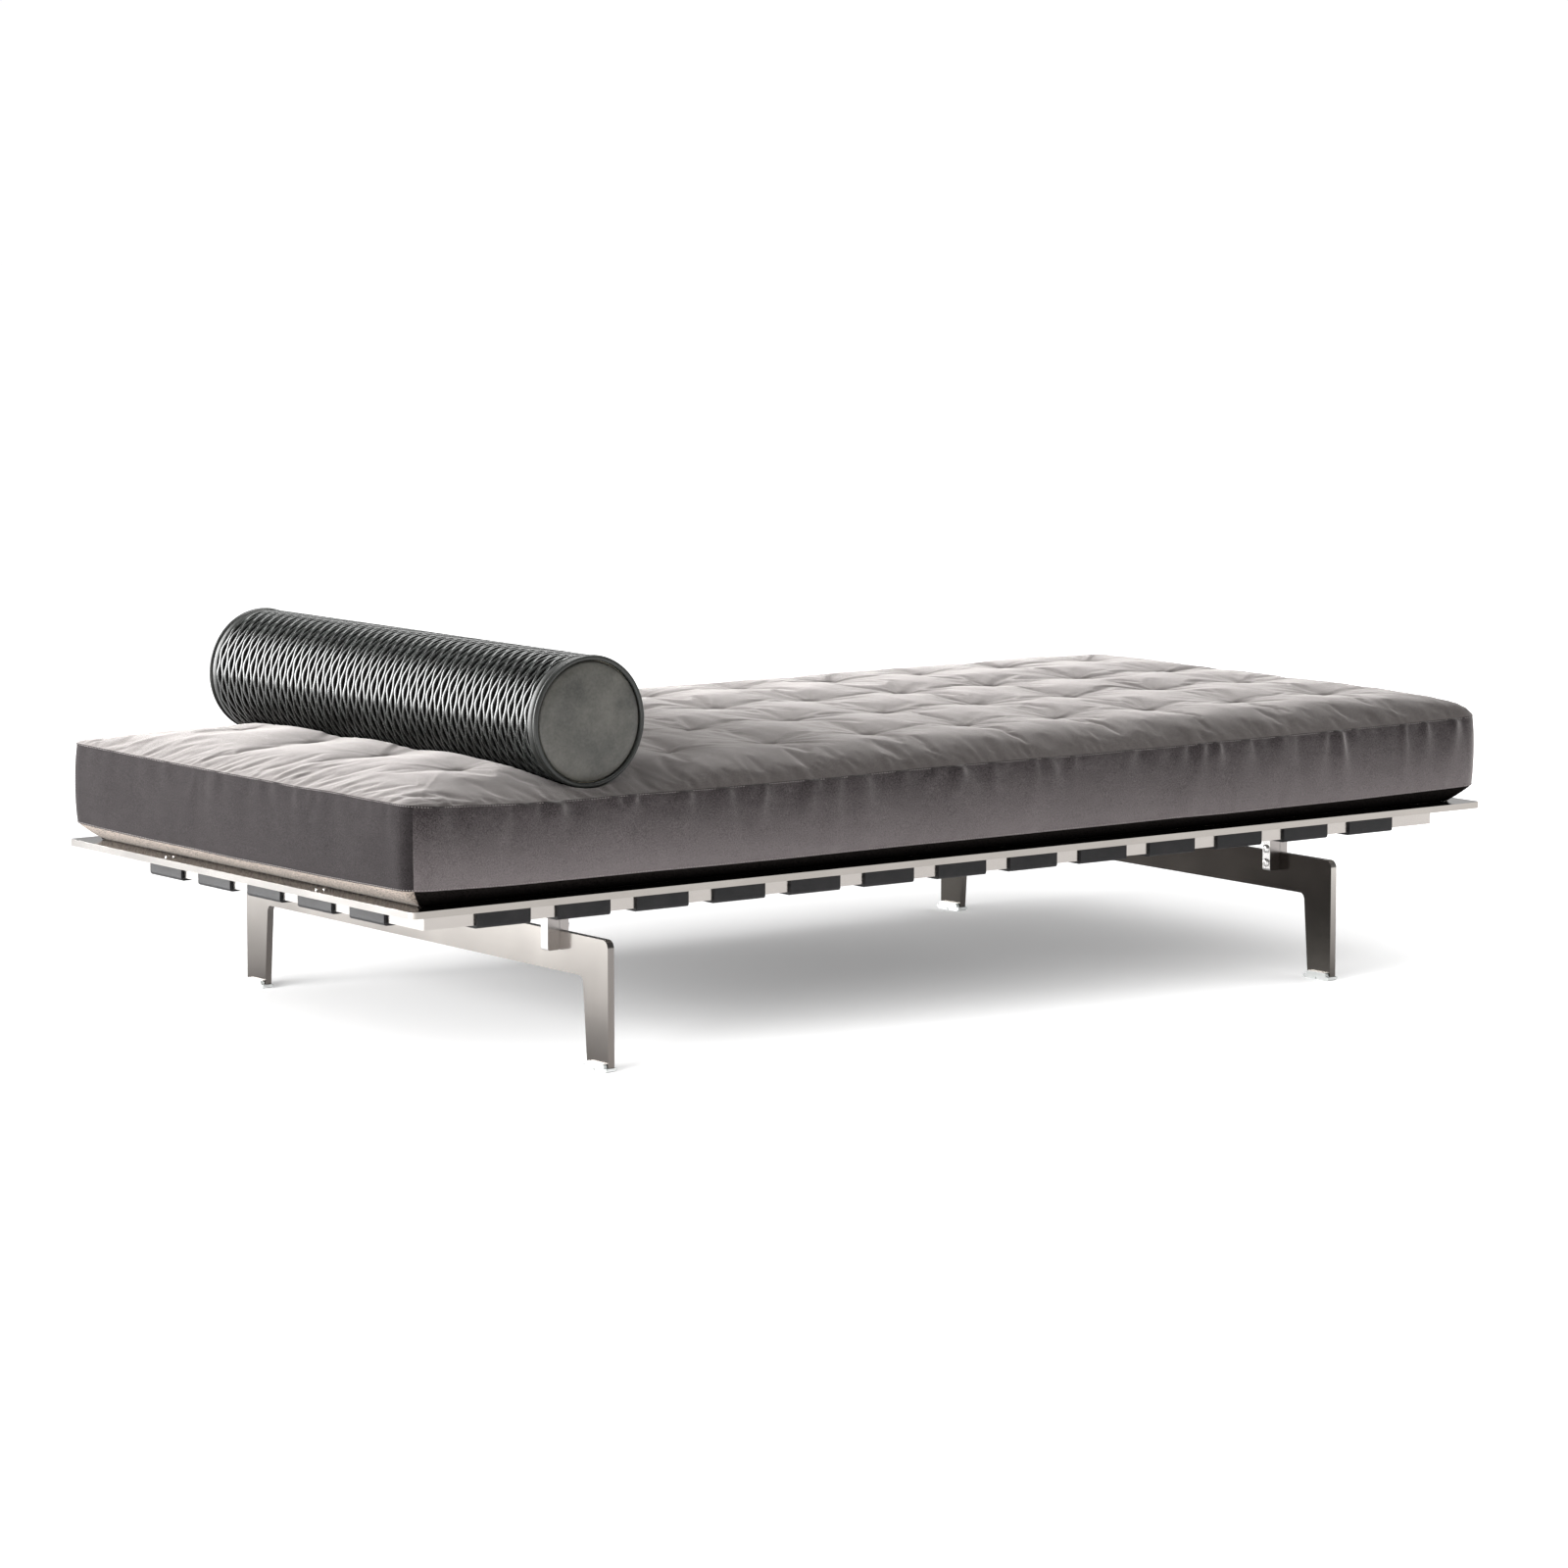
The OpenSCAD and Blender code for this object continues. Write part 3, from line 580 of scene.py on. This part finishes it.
STITCH_TO_SEAM = 1.6 * MM
UNDER_DRAWN_IN = 40 * MM

piping_low, piping_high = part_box("bolster_piping")
BOLSTER_X = (piping_low.x + piping_high.x) / 2
BOLSTER_Z = (piping_low.z + piping_high.z) / 2
BOLSTER_R = (piping_high.x - piping_low.x) / 2
BOLSTER_END = piping_high.y


def inside_distance(x, y):
    """Distance from a point of the mattress's plan in to its outline."""
    qx, qy = np.abs(x) - (HALF_X - CORNER_R), np.abs(y) - (HALF_Y - CORNER_R)
    outside = np.hypot(np.maximum(qx, 0), np.maximum(qy, 0))
    return CORNER_R - outside - np.minimum(np.maximum(qx, qy), 0)


def upper_seam(x, y):
    """Height of the upper seam: highest at the head end, with a small lift at the foot end."""
    head = np.exp(-(x + HALF_X) / (150 * MM))
    foot = np.exp(-(HALF_X - x) / (140 * MM))
    lift = 12 * MM * head + 3 * MM * foot
    return SEAM_HIGH + lift + 1.3 * MM * value_noise(x / 0.09, y / 0.09, 5)


def lower_seam(x, y):
    """Height of the lower seam, which rises a little towards the corners."""
    corner = np.exp(-(HALF_X - np.abs(x)) / 0.2) * np.exp(-(HALF_Y - np.abs(y)) / 0.2)
    return SEAM_LOW + 5 * MM * corner + 0.6 * MM * value_noise(x / 0.12, y / 0.12, 9)


def tufts():
    """Places of the tufts in plan."""
    xs = (np.arange(TUFT_COLUMNS) - (TUFT_COLUMNS - 1) / 2) * TUFT_PITCH_X
    ys = (np.arange(TUFT_ROWS) - (TUFT_ROWS - 1) / 2) * TUFT_PITCH_Y
    return [(x + TUFT_DRIFT * (y + 0.3) + TUFT_SHIFT, y + TUFT_SHIFT) for x in xs for y in ys]


def pull_folds(along, away, span, seed, count, reach, height, sharp=1.0):
    """Narrow folds that start at a seam and run away from it, as a height over the surface.
    along is the place along the seam and away the distance from it."""
    rng = np.random.default_rng(seed)
    total = np.zeros_like(along)
    for _ in range(count):
        place = rng.uniform(-span, span)
        length = reach * rng.uniform(0.35, 1.3)
        width = rng.uniform(3.5, 9.0) * MM * sharp
        tall = height * rng.uniform(0.35, 1.0) * rng.choice([1, 1, -0.8])
        lean = rng.normal(0, 0.16)
        bend = rng.normal(0, 0.9)
        middle = place + lean * away + bend * away * away
        spread = width * (1 + 1.2 * away / length)
        near = (np.abs(along - middle) < 3 * spread) & (away < 2.2 * length)
        across = (along[near] - middle[near]) / spread[near]
        fade = np.exp(-(away[near] / length) ** 2) * np.minimum(away[near] / (4 * MM) + 0.35, 1)
        total[near] += tall * fade * (1.25 * np.exp(-across ** 2)
                                      - 0.35 * np.exp(-(across / 2.2) ** 2))
    return total


def smooth(value):
    value = np.clip(value, 0, 1)
    return value * value * (3 - 2 * value)


def crown_height(x, y):
    """Height of the top before it is tufted: a quick roll up from the seam, then a slow rise.
    The roll takes a smaller share of the rise at the head end."""
    away = np.maximum(inside_distance(x, y), 0)
    quick = 0.30 + 0.38 * smooth((x + 0.62) / 0.2)
    rise = quick * (1 - np.exp(-away / (14 * MM))) + (1 - quick) * smooth(away / (165 * MM))
    seam = upper_seam(x, y)
    return seam + (CROWN_Z - seam) * rise


def below_bolster(x, y, z):
    """Presses the top down where the bolster lies on it."""
    under = np.abs(x - BOLSTER_X) < BOLSTER_R * 0.98
    limit = np.full_like(z, 10.0)
    limit[under] = BOLSTER_Z - np.sqrt(BOLSTER_R ** 2 - (x[under] - BOLSTER_X) ** 2)
    side = np.maximum(np.abs(y) - BOLSTER_END, 0)
    return np.minimum(z, limit - 0.8 * MM + side * 0.5)


def tuft_pinch(x, y, reach):
    """1 at each tuft, falling to 0 over about reach."""
    total = np.zeros_like(x)
    for tx, ty in tufts():
        total = np.maximum(total, np.exp(-(np.hypot(x - tx, y - ty) / reach) ** 2))
    return total


def simulate_top(x, y, z):
    """Blows the panel up against its seam and its tufts, as cloth cut a little too large."""
    rows, columns = x.shape
    points = np.stack([x, y, z], axis=-1).reshape(-1, 3)
    mesh = bpy.data.meshes.new("top_cloth")
    mesh.from_pydata(points.tolist(), [], grid_faces(rows, columns))
    cloth_piece = bpy.data.objects.new("top_cloth", mesh)
    bpy.context.scene.collection.objects.link(cloth_piece)
    held = np.zeros_like(x)
    held[[0, -1], :] = 1
    held[:, [0, -1]] = 1
    held[tuft_pinch(x, y, SIM_STEP) > 0.45] = 1
    pins = cloth_piece.vertex_groups.new(name="held")
    pins.add(np.flatnonzero(held.ravel() > 0).tolist(), 1.0, "REPLACE")
    cloth = cloth_piece.modifiers.new("cloth", "CLOTH")
    settings = cloth.settings
    settings.vertex_group_mass = "held"
    settings.quality = 5
    settings.mass = 0.25
    settings.tension_stiffness = 18
    settings.compression_stiffness = 12
    settings.shear_stiffness = 4
    settings.bending_stiffness = 0.35
    settings.air_damping = 3
    settings.shrink_min = -0.0035
    settings.use_pressure = True
    settings.uniform_pressure_force = 0.6
    settings.effector_weights.gravity = 0
    cloth.collision_settings.use_collision = False
    cloth.point_cache.frame_end = SIM_FRAMES
    scene = bpy.context.scene
    for number in range(1, SIM_FRAMES + 1):
        scene.frame_set(number)
    graph = bpy.context.evaluated_depsgraph_get()
    done = cloth_piece.evaluated_get(graph).data
    after = np.empty(len(points) * 3)
    done.vertices.foreach_get("co", after)
    scene.frame_set(1)
    bpy.data.objects.remove(cloth_piece)
    moved = after.reshape(-1, 3) - points
    length = np.linalg.norm(moved, axis=1, keepdims=True)
    moved *= np.minimum(1, SIM_MOVE_MAX / np.maximum(length, 1e-9))
    return (points + moved).reshape(rows, columns, 3)


def refined(grid, times):
    """A grid of points with its cells cut in two both ways, on smooth curves."""
    for _ in range(times):
        for axis in (0, 1):
            g = np.moveaxis(grid, axis, 0)
            padded = np.concatenate([2 * g[:1] - g[1:2], g, 2 * g[-1:] - g[-2:-1]])
            middle = (9 * (padded[1:-2] + padded[2:-1]) - padded[:-3] - padded[3:]) / 16
            out = np.empty((2 * len(g) - 1, *g.shape[1:]))
            out[0::2] = g
            out[1::2] = middle
            grid = np.moveaxis(out, 0, axis)
    return grid


def fine_top_folds(x, y):
    """The small folds that a simulation is too coarse for: gathers along the seams and creases
    that run from each tuft."""
    away = np.maximum(inside_distance(x, y), 0)
    z = pull_folds(x, HALF_Y + y, HALF_X, 31, 110, 60 * MM, 1.5 * MM)
    z += pull_folds(x, HALF_Y - y, HALF_X, 32, 110, 60 * MM, 1.2 * MM)
    z += pull_folds(y, HALF_X + x, HALF_Y, 33, 50, 95 * MM, 1.3 * MM)
    z += pull_folds(y, HALF_X - x, HALF_Y, 34, 50, 70 * MM, 1.3 * MM)
    inner = smooth(away / (60 * MM))
    z += inner * 0.6 * MM * value_noise(x / 0.05 + 7, y / 0.25, 11)
    z += inner * 0.3 * MM * value_noise(x / 0.016 + 3, y / 0.09, 12)
    rng = np.random.default_rng(21)
    for tx, ty in tufts():
        box = (np.abs(x - tx) < 0.16) & (np.abs(y - ty) < 0.16)
        dx, dy = x[box] - tx, y[box] - ty
        near = np.hypot(dx, dy)
        angle = np.arctan2(dy, dx)
        total = -6 * MM * np.exp(-(np.hypot(dx / 2.4, dy) / (6 * MM)) ** 1.2)
        for way in (-0.75, 0.2, 2.3, 3.3, -1.7, 1.4):
            way += rng.normal(0, 0.22)
            length = rng.uniform(35, 100) * MM
            turn = (angle - way - 2.0 * near * rng.uniform(-1, 1) + math.pi) % (2 * math.pi)
            side = near * np.sin(turn - math.pi)
            fold = np.exp(-(side / (2.6 * MM + 0.05 * near)) ** 2)
            fold -= 0.5 * np.exp(-((side - 7 * MM) / (5 * MM + 0.05 * near)) ** 2)
            fold *= np.exp(-(near / length) ** 2) * (np.cos(turn - math.pi) > 0)
            total += rng.uniform(0.4, 1.1) * MM * fold * np.clip(near / (7 * MM), 0, 1)
        z[box] += total
    return z


def round_corners(x, y):
    """Bends the square corners of a plan grid into quarter circles."""
    a = np.clip((np.abs(x) - (HALF_X - CORNER_R)) / CORNER_R, 0, 1)
    b = np.clip((np.abs(y) - (HALF_Y - CORNER_R)) / CORNER_R, 0, 1)
    both = (a > 0) & (b > 0)
    x2, y2 = x.copy(), y.copy()
    x2[both] = np.sign(x[both]) * (HALF_X - CORNER_R
                                   + CORNER_R * a[both] * np.sqrt(1 - b[both] ** 2 / 2))
    y2[both] = np.sign(y[both]) * (HALF_Y - CORNER_R
                                   + CORNER_R * b[both] * np.sqrt(1 - a[both] ** 2 / 2))
    return x2, y2


def make_mattress_top(material):
    across = [int(2 * half / SIM_STEP) + 1 for half in (HALF_X, HALF_Y)]
    xs, ys = np.linspace(-HALF_X, HALF_X, across[0]), np.linspace(-HALF_Y, HALF_Y, across[1])
    x, y = round_corners(*np.meshgrid(xs, ys, indexing="ij"))
    z = crown_height(x, y) - TUFT_DEPTH * tuft_pinch(x, y, TUFT_REACH)
    z += 0.5 * MM * value_noise(x / 0.035, y / 0.05, 17) * smooth(inside_distance(x, y) / 0.03)
    grid = simulate_top(x, y, z)
    grid = refined(grid, 1)
    x, y, z = grid[..., 0], grid[..., 1], grid[..., 2]
    rim = smooth(np.maximum(inside_distance(x, y), 0) / (6 * MM))
    z = z + rim * fine_top_folds(x, y)
    z = below_bolster(x, y, z)
    points = np.stack([x, y, z], axis=-1).reshape(-1, 3)
    top = new_piece("mattress_tufted_top", points, grid_faces(*x.shape), material,
                    "mattress")
    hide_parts("mattress_top", "mattress_core")
    return points


def outline(step):
    """Points round the mattress's plan, their outward normals and the distance gone."""
    sides = []
    for cx, cy, turn in ((HALF_X, -HALF_Y, -90), (HALF_X, HALF_Y, 0), (-HALF_X, HALF_Y, 90),
                         (-HALF_X, -HALF_Y, 180)):
        centre = (cx - math.copysign(CORNER_R, cx), cy - math.copysign(CORNER_R, cy))
        angles = np.radians(np.linspace(turn, turn + 90, 13))
        sides.append(np.stack([centre[0] + CORNER_R * np.cos(angles),
                               centre[1] + CORNER_R * np.sin(angles),
                               np.cos(angles), np.sin(angles)], axis=-1))
    ring = []
    for k in range(4):
        ring.append(sides[k])
        start, end = sides[k][-1], sides[(k + 1) % 4][0]
        n = int(np.hypot(*(end - start)[:2]) / step)
        part = np.linspace(start, end, n + 1)[1:-1]
        ring.append(part)
    ring = np.concatenate(ring)
    gone = np.cumsum(np.hypot(*(np.roll(ring[:, :2], -1, axis=0) - ring[:, :2]).T))
    return ring[:, 0], ring[:, 1], ring[:, 2], ring[:, 3], np.concatenate([[0], gone[:-1]])


def make_mattress_border(material, painted_shade_end_material):
    x, y, nx, ny, gone = outline(4 * MM)
    rows = 40
    down = np.linspace(0, 1, rows)[:, None]
    high, low = upper_seam(x, y)[None, :], lower_seam(x, y)[None, :]
    z = high + (low - high) * down
    belly = 4.5 * MM * np.sin(math.pi * down) ** 0.6 - 1.5 * MM
    away = (high - z)
    span = gone.max() / 2
    along = np.repeat((gone - span)[None, :], rows, axis=0)
    long_side = np.abs(ny)[None, :] ** 2
    puckers = pull_folds(along, away, span, 41, 240, 62 * MM, 5.0 * MM, 1.6)
    rise = z - low
    hem = pull_folds(along, rise, span, 42, 130, 30 * MM, 1.1 * MM, 1.1)
    waves = 1.4 * MM * value_noise(along / 0.06, z / 0.25, 43) * np.sin(math.pi * down)
    out = belly + waves + (puckers + hem) * (0.2 + 0.8 * long_side)
    out *= np.minimum(1, np.sin(math.pi * down) * 6 + 0.25)
    points = np.stack([x + nx * out, y + ny * out, z + 0 * out], axis=-1)
    roll_in = points[:1] + np.stack([-nx, -ny, 0 * nx], axis=-1)[None] * 2 * MM
    points = np.concatenate([roll_in, points]).reshape(-1, 3)
    border = new_piece("mattress_border_band", points,
                       grid_faces(rows + 1, len(x), wrap_columns=True), material, "mattress")
    # The border's faces along X get a much darker velvet with little sheen: a painted shade.
    paint_light_and_shade_by_direction(border, painted_shade_end_material, 0)
    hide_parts("mattress_border")


def make_mattress_underside(material, painted_shade_side_material):
    """Draws in from the lower seam, then lies flat on the plate ring and the straps."""
    x, y, nx, ny, _ = outline(8 * MM)
    flat_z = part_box("mattress_underside")[0].z + 0.1 * MM
    low = lower_seam(x, y)
    rings = []
    for t in np.linspace(0, 1, 9):
        inset = UNDER_DRAWN_IN * t + 1.5 * MM * (t < 0.01)
        bulge = 2.0 * MM * math.sin(math.pi * t)
        drop = low + (flat_z - low) * t - bulge * (0.4 + 0.6 * t)
        rings.append(np.stack([x - nx * inset, y - ny * inset, np.maximum(drop, flat_z)], -1))
    base = rings[-1]
    for t in np.linspace(1, 0.06, 14)[1:]:
        rings.append(base * (t, t, 1))
    points = np.concatenate(rings + [[[0, 0, flat_z]]])
    faces = grid_faces(len(rings), len(x), wrap_columns=True)
    middle = len(points) - 1
    last = middle - len(x)
    faces += [(last + k, last + (k + 1) % len(x), middle) for k in range(len(x))]
    under = new_piece("mattress_under_panel", points, faces, material, "mattress")
    # The underside's faces along Y get a nearly black copy of the cloth: a painted shade.
    paint_light_and_shade_by_direction(under, painted_shade_side_material, 1)
    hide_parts("mattress_underside")


def add_lens(verts, faces, points, outward, upward, thick):
    """Adds one stitch of thread: a small lens with four sides along the points."""
    base = len(verts)
    for (px, py, pz), size in zip(points, (0.35, 1, 1, 0.35)):
        for a, b in ((1, 0), (0, 1), (-1, 0), (0, -1)):
            side = Vector(outward) * (thick * a * size) + Vector(upward) * (thick * b * size)
            verts.append((px + side.x, py + side.y, pz + side.z))
    for seg in range(3):
        for j in range(4):
            faces.append((base + seg * 4 + j, base + seg * 4 + (j + 1) % 4,
                          base + seg * 4 + 4 + (j + 1) % 4, base + seg * 4 + 4 + j))
    faces.append((base, base + 3, base + 2, base + 1))
    faces.append((base + 12, base + 13, base + 14, base + 15))


def stitch_line(name, height, inset, pitch, material):
    """A run of short stitches along a seam of the mattress."""
    x, y, nx, ny, gone = outline(2 * MM)
    total = gone[-1] + np.hypot(x[0] - x[-1], y[0] - y[-1])
    ends = np.append(gone, total)
    verts, faces = [], []
    for k in range(int(total / pitch)):
        points = []
        for t, size in ((-1, 0.35), (-0.5, 1), (0.5, 1), (1, 0.35)):
            s = (k * pitch + t * pitch * 0.33) % total
            px, py, qx, qy = (np.interp(s, ends, np.append(v, v[0])) for v in (x, y, nx, ny))
            out = inset + 0.45 * MM * (size - 0.5)
            points.append((px + qx * out, py + qy * out,
                           height(np.array([px]), np.array([py]))[0]))
        add_lens(verts, faces, points, (qx, qy, 0), (0, 0, 1), 0.55 * MM)
    return new_piece(name, verts, faces, material, "mattress")


def make_tuft_tacks(top, material):
    """A short bar of thread in the middle of each tuft, on the grid of points of the top."""
    verts, faces = [], []
    for tx, ty in tufts():
        if abs(tx - BOLSTER_X) < BOLSTER_R:
            continue
        near = np.argmin(np.hypot(top[:, 0] - tx, top[:, 1] - ty))
        place = Vector(top[near]) + Vector((0, 0, 0.6 * MM))
        points = [place + Vector((t * 3 * MM, t * 0.8 * MM, 0)) for t in (-1, -0.4, 0.4, 1)]
        add_lens(verts, faces, points, (0, 1, 0), (0, 0, 1), 0.8 * MM)
    return new_piece("tuft_tacks", verts, faces, material, "mattress")


def make_mattress():
    velvet = velvet_material("velvet", (0.046, 0.040, 0.038), (0.185, 0.165, 0.158), 0.6)
    top = make_mattress_top(velvet)
    # The border is one velvet in other tones: its ends a painted shade, its long sides a painted
    # light towards the lower seam.
    make_mattress_border(
        velvet_material("velvet_side_painted_light", (0.022, 0.018, 0.019), (0.145, 0.127, 0.129), 0.9, 0.35),
        velvet_material("velvet_end_painted_shade", (0.003, 0.002, 0.0025), (0.036, 0.031, 0.032), 0.06))
    make_mattress_underside(
        under_material("under_cloth", (0.030, 0.025, 0.022), (0.33, 0.275, 0.23), 0.1),
        under_material("under_cloth_side_painted_shade", (0.001, 0.001, 0.001), (0.010, 0.0085, 0.008), 0.0))
    thread = thread_material("pale_thread", (0.32, 0.29, 0.28))
    stitch_line("upper_seam_stitches", lambda x, y: upper_seam(x, y) - STITCH_TO_SEAM,
                STITCH_INSET, STITCH_PITCH, thread)
    make_tuft_tacks(top, thread)
    stitch_line("lower_seam_stitches", lambda x, y: lower_seam(x, y) + STITCH_TO_SEAM,
                STITCH_INSET, STITCH_PITCH, thread)


# ---------------------------------------------------------------- bolster

STRIP_PITCH = 10.5 * MM
STRIP_W = 6.4 * MM
STRIP_SWAY = 2.0 * MM
WARP_ROWS = 30
BAND_W = 13 * MM
ROUND_STEPS = 160       # points round a band or a cap
core_low, core_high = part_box("bolster_core")
CORE_R = (core_high.x - core_low.x) / 2


def make_woven_sleeve(material, edge_and_shade_material):
    """Narrow flat-topped strips of leather round the bolster, with matt cut edges painted near
    black as painted shade. Each sways from one neighbour to the other, so that they meet in rows
    and leave gaps between them."""
    low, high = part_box("bolster_sleeve")
    start, end = low.y + BAND_W, high.y - BAND_W
    count = int(round((end - start) / STRIP_PITCH))
    pitch = (end - start) / count
    steps = WARP_ROWS * 8
    turn = np.linspace(0, 2 * math.pi, steps, endpoint=False)
    section = ((-1, 0), (-0.98, 0.72), (-0.78, 0.93), (-0.4, 0.985), (0, 1), (0.4, 0.985),
               (0.78, 0.93), (0.98, 0.72), (1, 0))
    base_r = CORE_R + 0.2 * MM
    verts, faces, edges = [], [], []
    rng = np.random.default_rng(61)
    for k in range(count):
        wave = np.cos(turn * WARP_ROWS / 2 + math.pi * k)
        bulge = np.abs(np.sin(turn * WARP_ROWS / 2 + math.pi * k))
        y = start + (k + 0.5) * pitch + STRIP_SWAY * (1 + rng.normal(0, 0.04)) * wave
        y = y + 0.25 * MM * np.sin(turn * 5 + rng.uniform(0, 6)) + rng.normal(0, 0.12) * MM
        half = STRIP_W / 2 * (1.05 - 0.12 * bulge)
        tall = BOLSTER_R - base_r - (1.2 + 0.12 * bulge + rng.normal(0, 0.05)) * MM
        base = len(verts)
        for across, height in section:
            r = base_r + tall * height
            verts.extend(zip(BOLSTER_X + r * np.cos(turn), y + across * half,
                             BOLSTER_Z + r * np.sin(turn)))
        strip = grid_faces(len(section), steps, wrap_columns=True, start=base)
        edges += [*range(len(faces), len(faces) + steps),
                  *range(len(faces) + len(strip) - steps, len(faces) + len(strip))]
        faces.extend(strip)
    sleeve = new_piece("bolster_woven_sleeve", verts, faces, material, "bolster")
    sleeve.data.materials.append(edge_and_shade_material)
    for number in edges:
        sleeve.data.polygons[number].material_index = 1
    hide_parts("bolster_sleeve")


def make_backing(material):
    low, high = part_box("bolster_sleeve")
    r = CORE_R + 0.7 * MM
    profile = [(r, low.y + 4 * MM), (r, 0), (r, high.y - 4 * MM)]
    points, faces = revolve(profile, 96, (BOLSTER_X, BOLSTER_Z))
    new_piece("bolster_backing", points, faces, material, "bolster")


def make_end_band(side, material):
    """The smooth leather band between the weave and the piping."""
    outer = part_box("bolster_sleeve")[1].y
    inner = outer - BAND_W
    r = BOLSTER_R - 1.6 * MM
    profile = [(r - 4.0 * MM, inner - 0.6 * MM), (r - 1.0 * MM, inner - 0.4 * MM),
               (r - 0.1 * MM, inner + 0.6 * MM), (r + 0.3 * MM, inner + 2 * MM),
               (r + 0.5 * MM, inner + 5 * MM), (r + 0.3 * MM, inner + 9 * MM),
               (r - 0.6 * MM, outer - 1.4 * MM), (r - 2.6 * MM, outer + 0.6 * MM),
               (r - 6.0 * MM, outer + 0.8 * MM)]
    profile = [(a, side * b) for a, b in profile]
    points, faces = revolve(profile, ROUND_STEPS, (BOLSTER_X, BOLSTER_Z))
    return new_piece("bolster_band_" + ("rear" if side > 0 else "front"), points, faces,
                     material, "bolster")


def make_piping(side, material):
    """A piped ring with a lapped joint at the bottom."""
    steps, around = 240, 16
    radius = 3.9 * MM
    turn = np.linspace(0, 2 * math.pi, steps, endpoint=False)
    low_point = -math.pi / 2
    gap = (turn - low_point - 0.10 + math.pi) % (2 * math.pi) - math.pi
    pinch = np.exp(-(gap / 0.012) ** 2)
    swell = np.exp(-((gap - 0.05) / 0.05) ** 2)
    size = radius * (1 - 0.35 * pinch + 0.07 * swell)
    section = np.linspace(0, 2 * math.pi, around, endpoint=False)
    y0 = side * (BOLSTER_END - 4 * MM)
    main = BOLSTER_R - 4 * MM
    r = main + size[:, None] * np.cos(section)
    points = np.stack([BOLSTER_X + r * np.cos(turn)[:, None],
                       y0 + size[:, None] * np.sin(section),
                       BOLSTER_Z + r * np.sin(turn)[:, None]], axis=-1).reshape(-1, 3)
    return new_piece("bolster_piping_" + ("rear" if side > 0 else "front"), points,
                     grid_faces(steps, around, True, True), material, "bolster")


def make_cap(side, material):
    """A stuffed disc of smooth leather that sits just inside the piping."""
    outer = BOLSTER_END + 1.2 * MM
    edge_r = BOLSTER_R - 8.4 * MM
    profile = [(edge_r - 1.0 * MM, outer - 12 * MM), (edge_r, outer - 9 * MM),
               (edge_r - 0.3 * MM, outer - 6.5 * MM), (edge_r - 1.6 * MM, outer - 4.2 * MM),
               (edge_r - 4.0 * MM, outer - 2.4 * MM), (edge_r - 8.0 * MM, outer - 1.2 * MM)]
    for t in np.linspace(0.86, 0.02, 22):
        profile.append((edge_r * t, outer - 1.1 * MM + 4.0 * MM * (1 - t * t)))
    points, faces = revolve(profile, ROUND_STEPS, (BOLSTER_X, BOLSTER_Z))
    dx, dz = points[:, 0] - BOLSTER_X, points[:, 2] - BOLSTER_Z
    reach = np.hypot(dx, dz) / edge_r
    soft = value_noise(dx / 0.05 + 9, dz / 0.035 + 4, 71) * (reach < 0.98) * (1 - reach ** 4)
    points[:, 1] += 0.8 * MM * soft
    tip = len(points)
    points = np.concatenate([points, [[BOLSTER_X, outer + 2.9 * MM, BOLSTER_Z]]])
    last = tip - ROUND_STEPS
    faces += [(last + k, tip, last + (k + 1) % ROUND_STEPS) for k in range(ROUND_STEPS)]
    points[:, 1] *= side
    name = "rear" if side > 0 else "front"
    cap = new_piece("bolster_end_cap_" + name, points, faces, material, "bolster")
    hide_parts("bolster_cap_" + name)


def make_bolster():
    woven = woven_leather_material()
    cap = cap_leather_material()
    piped = piping_material()
    cut_edge_and_shade = cut_edge_and_shade_material()
    make_woven_sleeve(woven, cut_edge_and_shade)
    # The backing under the strips is near black: a painted shade in the gaps between them.
    make_backing(cut_edge_and_shade)
    for side in (-1, 1):
        make_end_band(side, piped)
        make_piping(side, piped)
        make_cap(side, cap)
    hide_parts("bolster_piping")
    frame["nodes"]["bolster_core"].data.materials.clear()
    frame["nodes"]["bolster_core"].data.materials.append(foam_material())
    return [o for o in bpy.context.scene.objects if o.name.startswith("bolster_")]


# ---------------------------------------------------------------- the scene

make_camera()
make_world()
floor = make_floor()
make_frame()
make_mattress()
bolster = make_bolster()
# Softboxes, linked so that the floor, the bolster and the rest are each lit by their own.
area_light("overhead_on_floor", place=(0.3, -1.4, 3.6), target=(0.1, -0.4, 0),
           size=(11.0, 7.5), watts=385, only=[floor])
area_light("low_left_on_floor", place=(-3.4, -0.5, 0.9), target=(-1.0, -0.1, 0),
           size=(3.4, 0.8), watts=210, only=[floor])
area_light("low_right_on_floor", place=(3.6, -0.2, 0.9), target=(1.2, 0, 0),
           size=(3.0, 0.8), watts=20, only=[floor])
area_light("back_left_wall", place=(-4.0, 3.5, 1.0), target=(-0.5, 0.2, 0.5),
           size=(4.0, 1.9), watts=680, but=[floor, *bolster])
area_light("left_strip", place=(-2.4, 3.6, 3.0), target=(-0.8, 0, 0.4),
           size=(2.2, 0.8), watts=190, but=[floor, *bolster])
area_light("right_front", place=(4.4, -2.1, 1.0), target=(0.3, -0.5, 0.3),
           size=(1.2, 1.2), watts=60, but=[floor, *bolster])
area_light("overhead", place=(-0.4, -0.6, 3.8), target=(0, 0, 0.2),
           size=(3.0, 2.4), watts=30, but=[floor])
area_light("wall_on_bolster", place=(-3.2, 4.0, 1.6), target=(-0.7, 0, 0.5),
           size=(4.6, 3.2), watts=640, only=bolster)
area_light("overhead_on_bolster", place=(0.2, 0.1, 3.0), target=(-0.7, 0, 0.5),
           size=(2.4, 1.4), watts=120, only=bolster)
bpy.context.scene.view_settings.view_transform = "Standard"
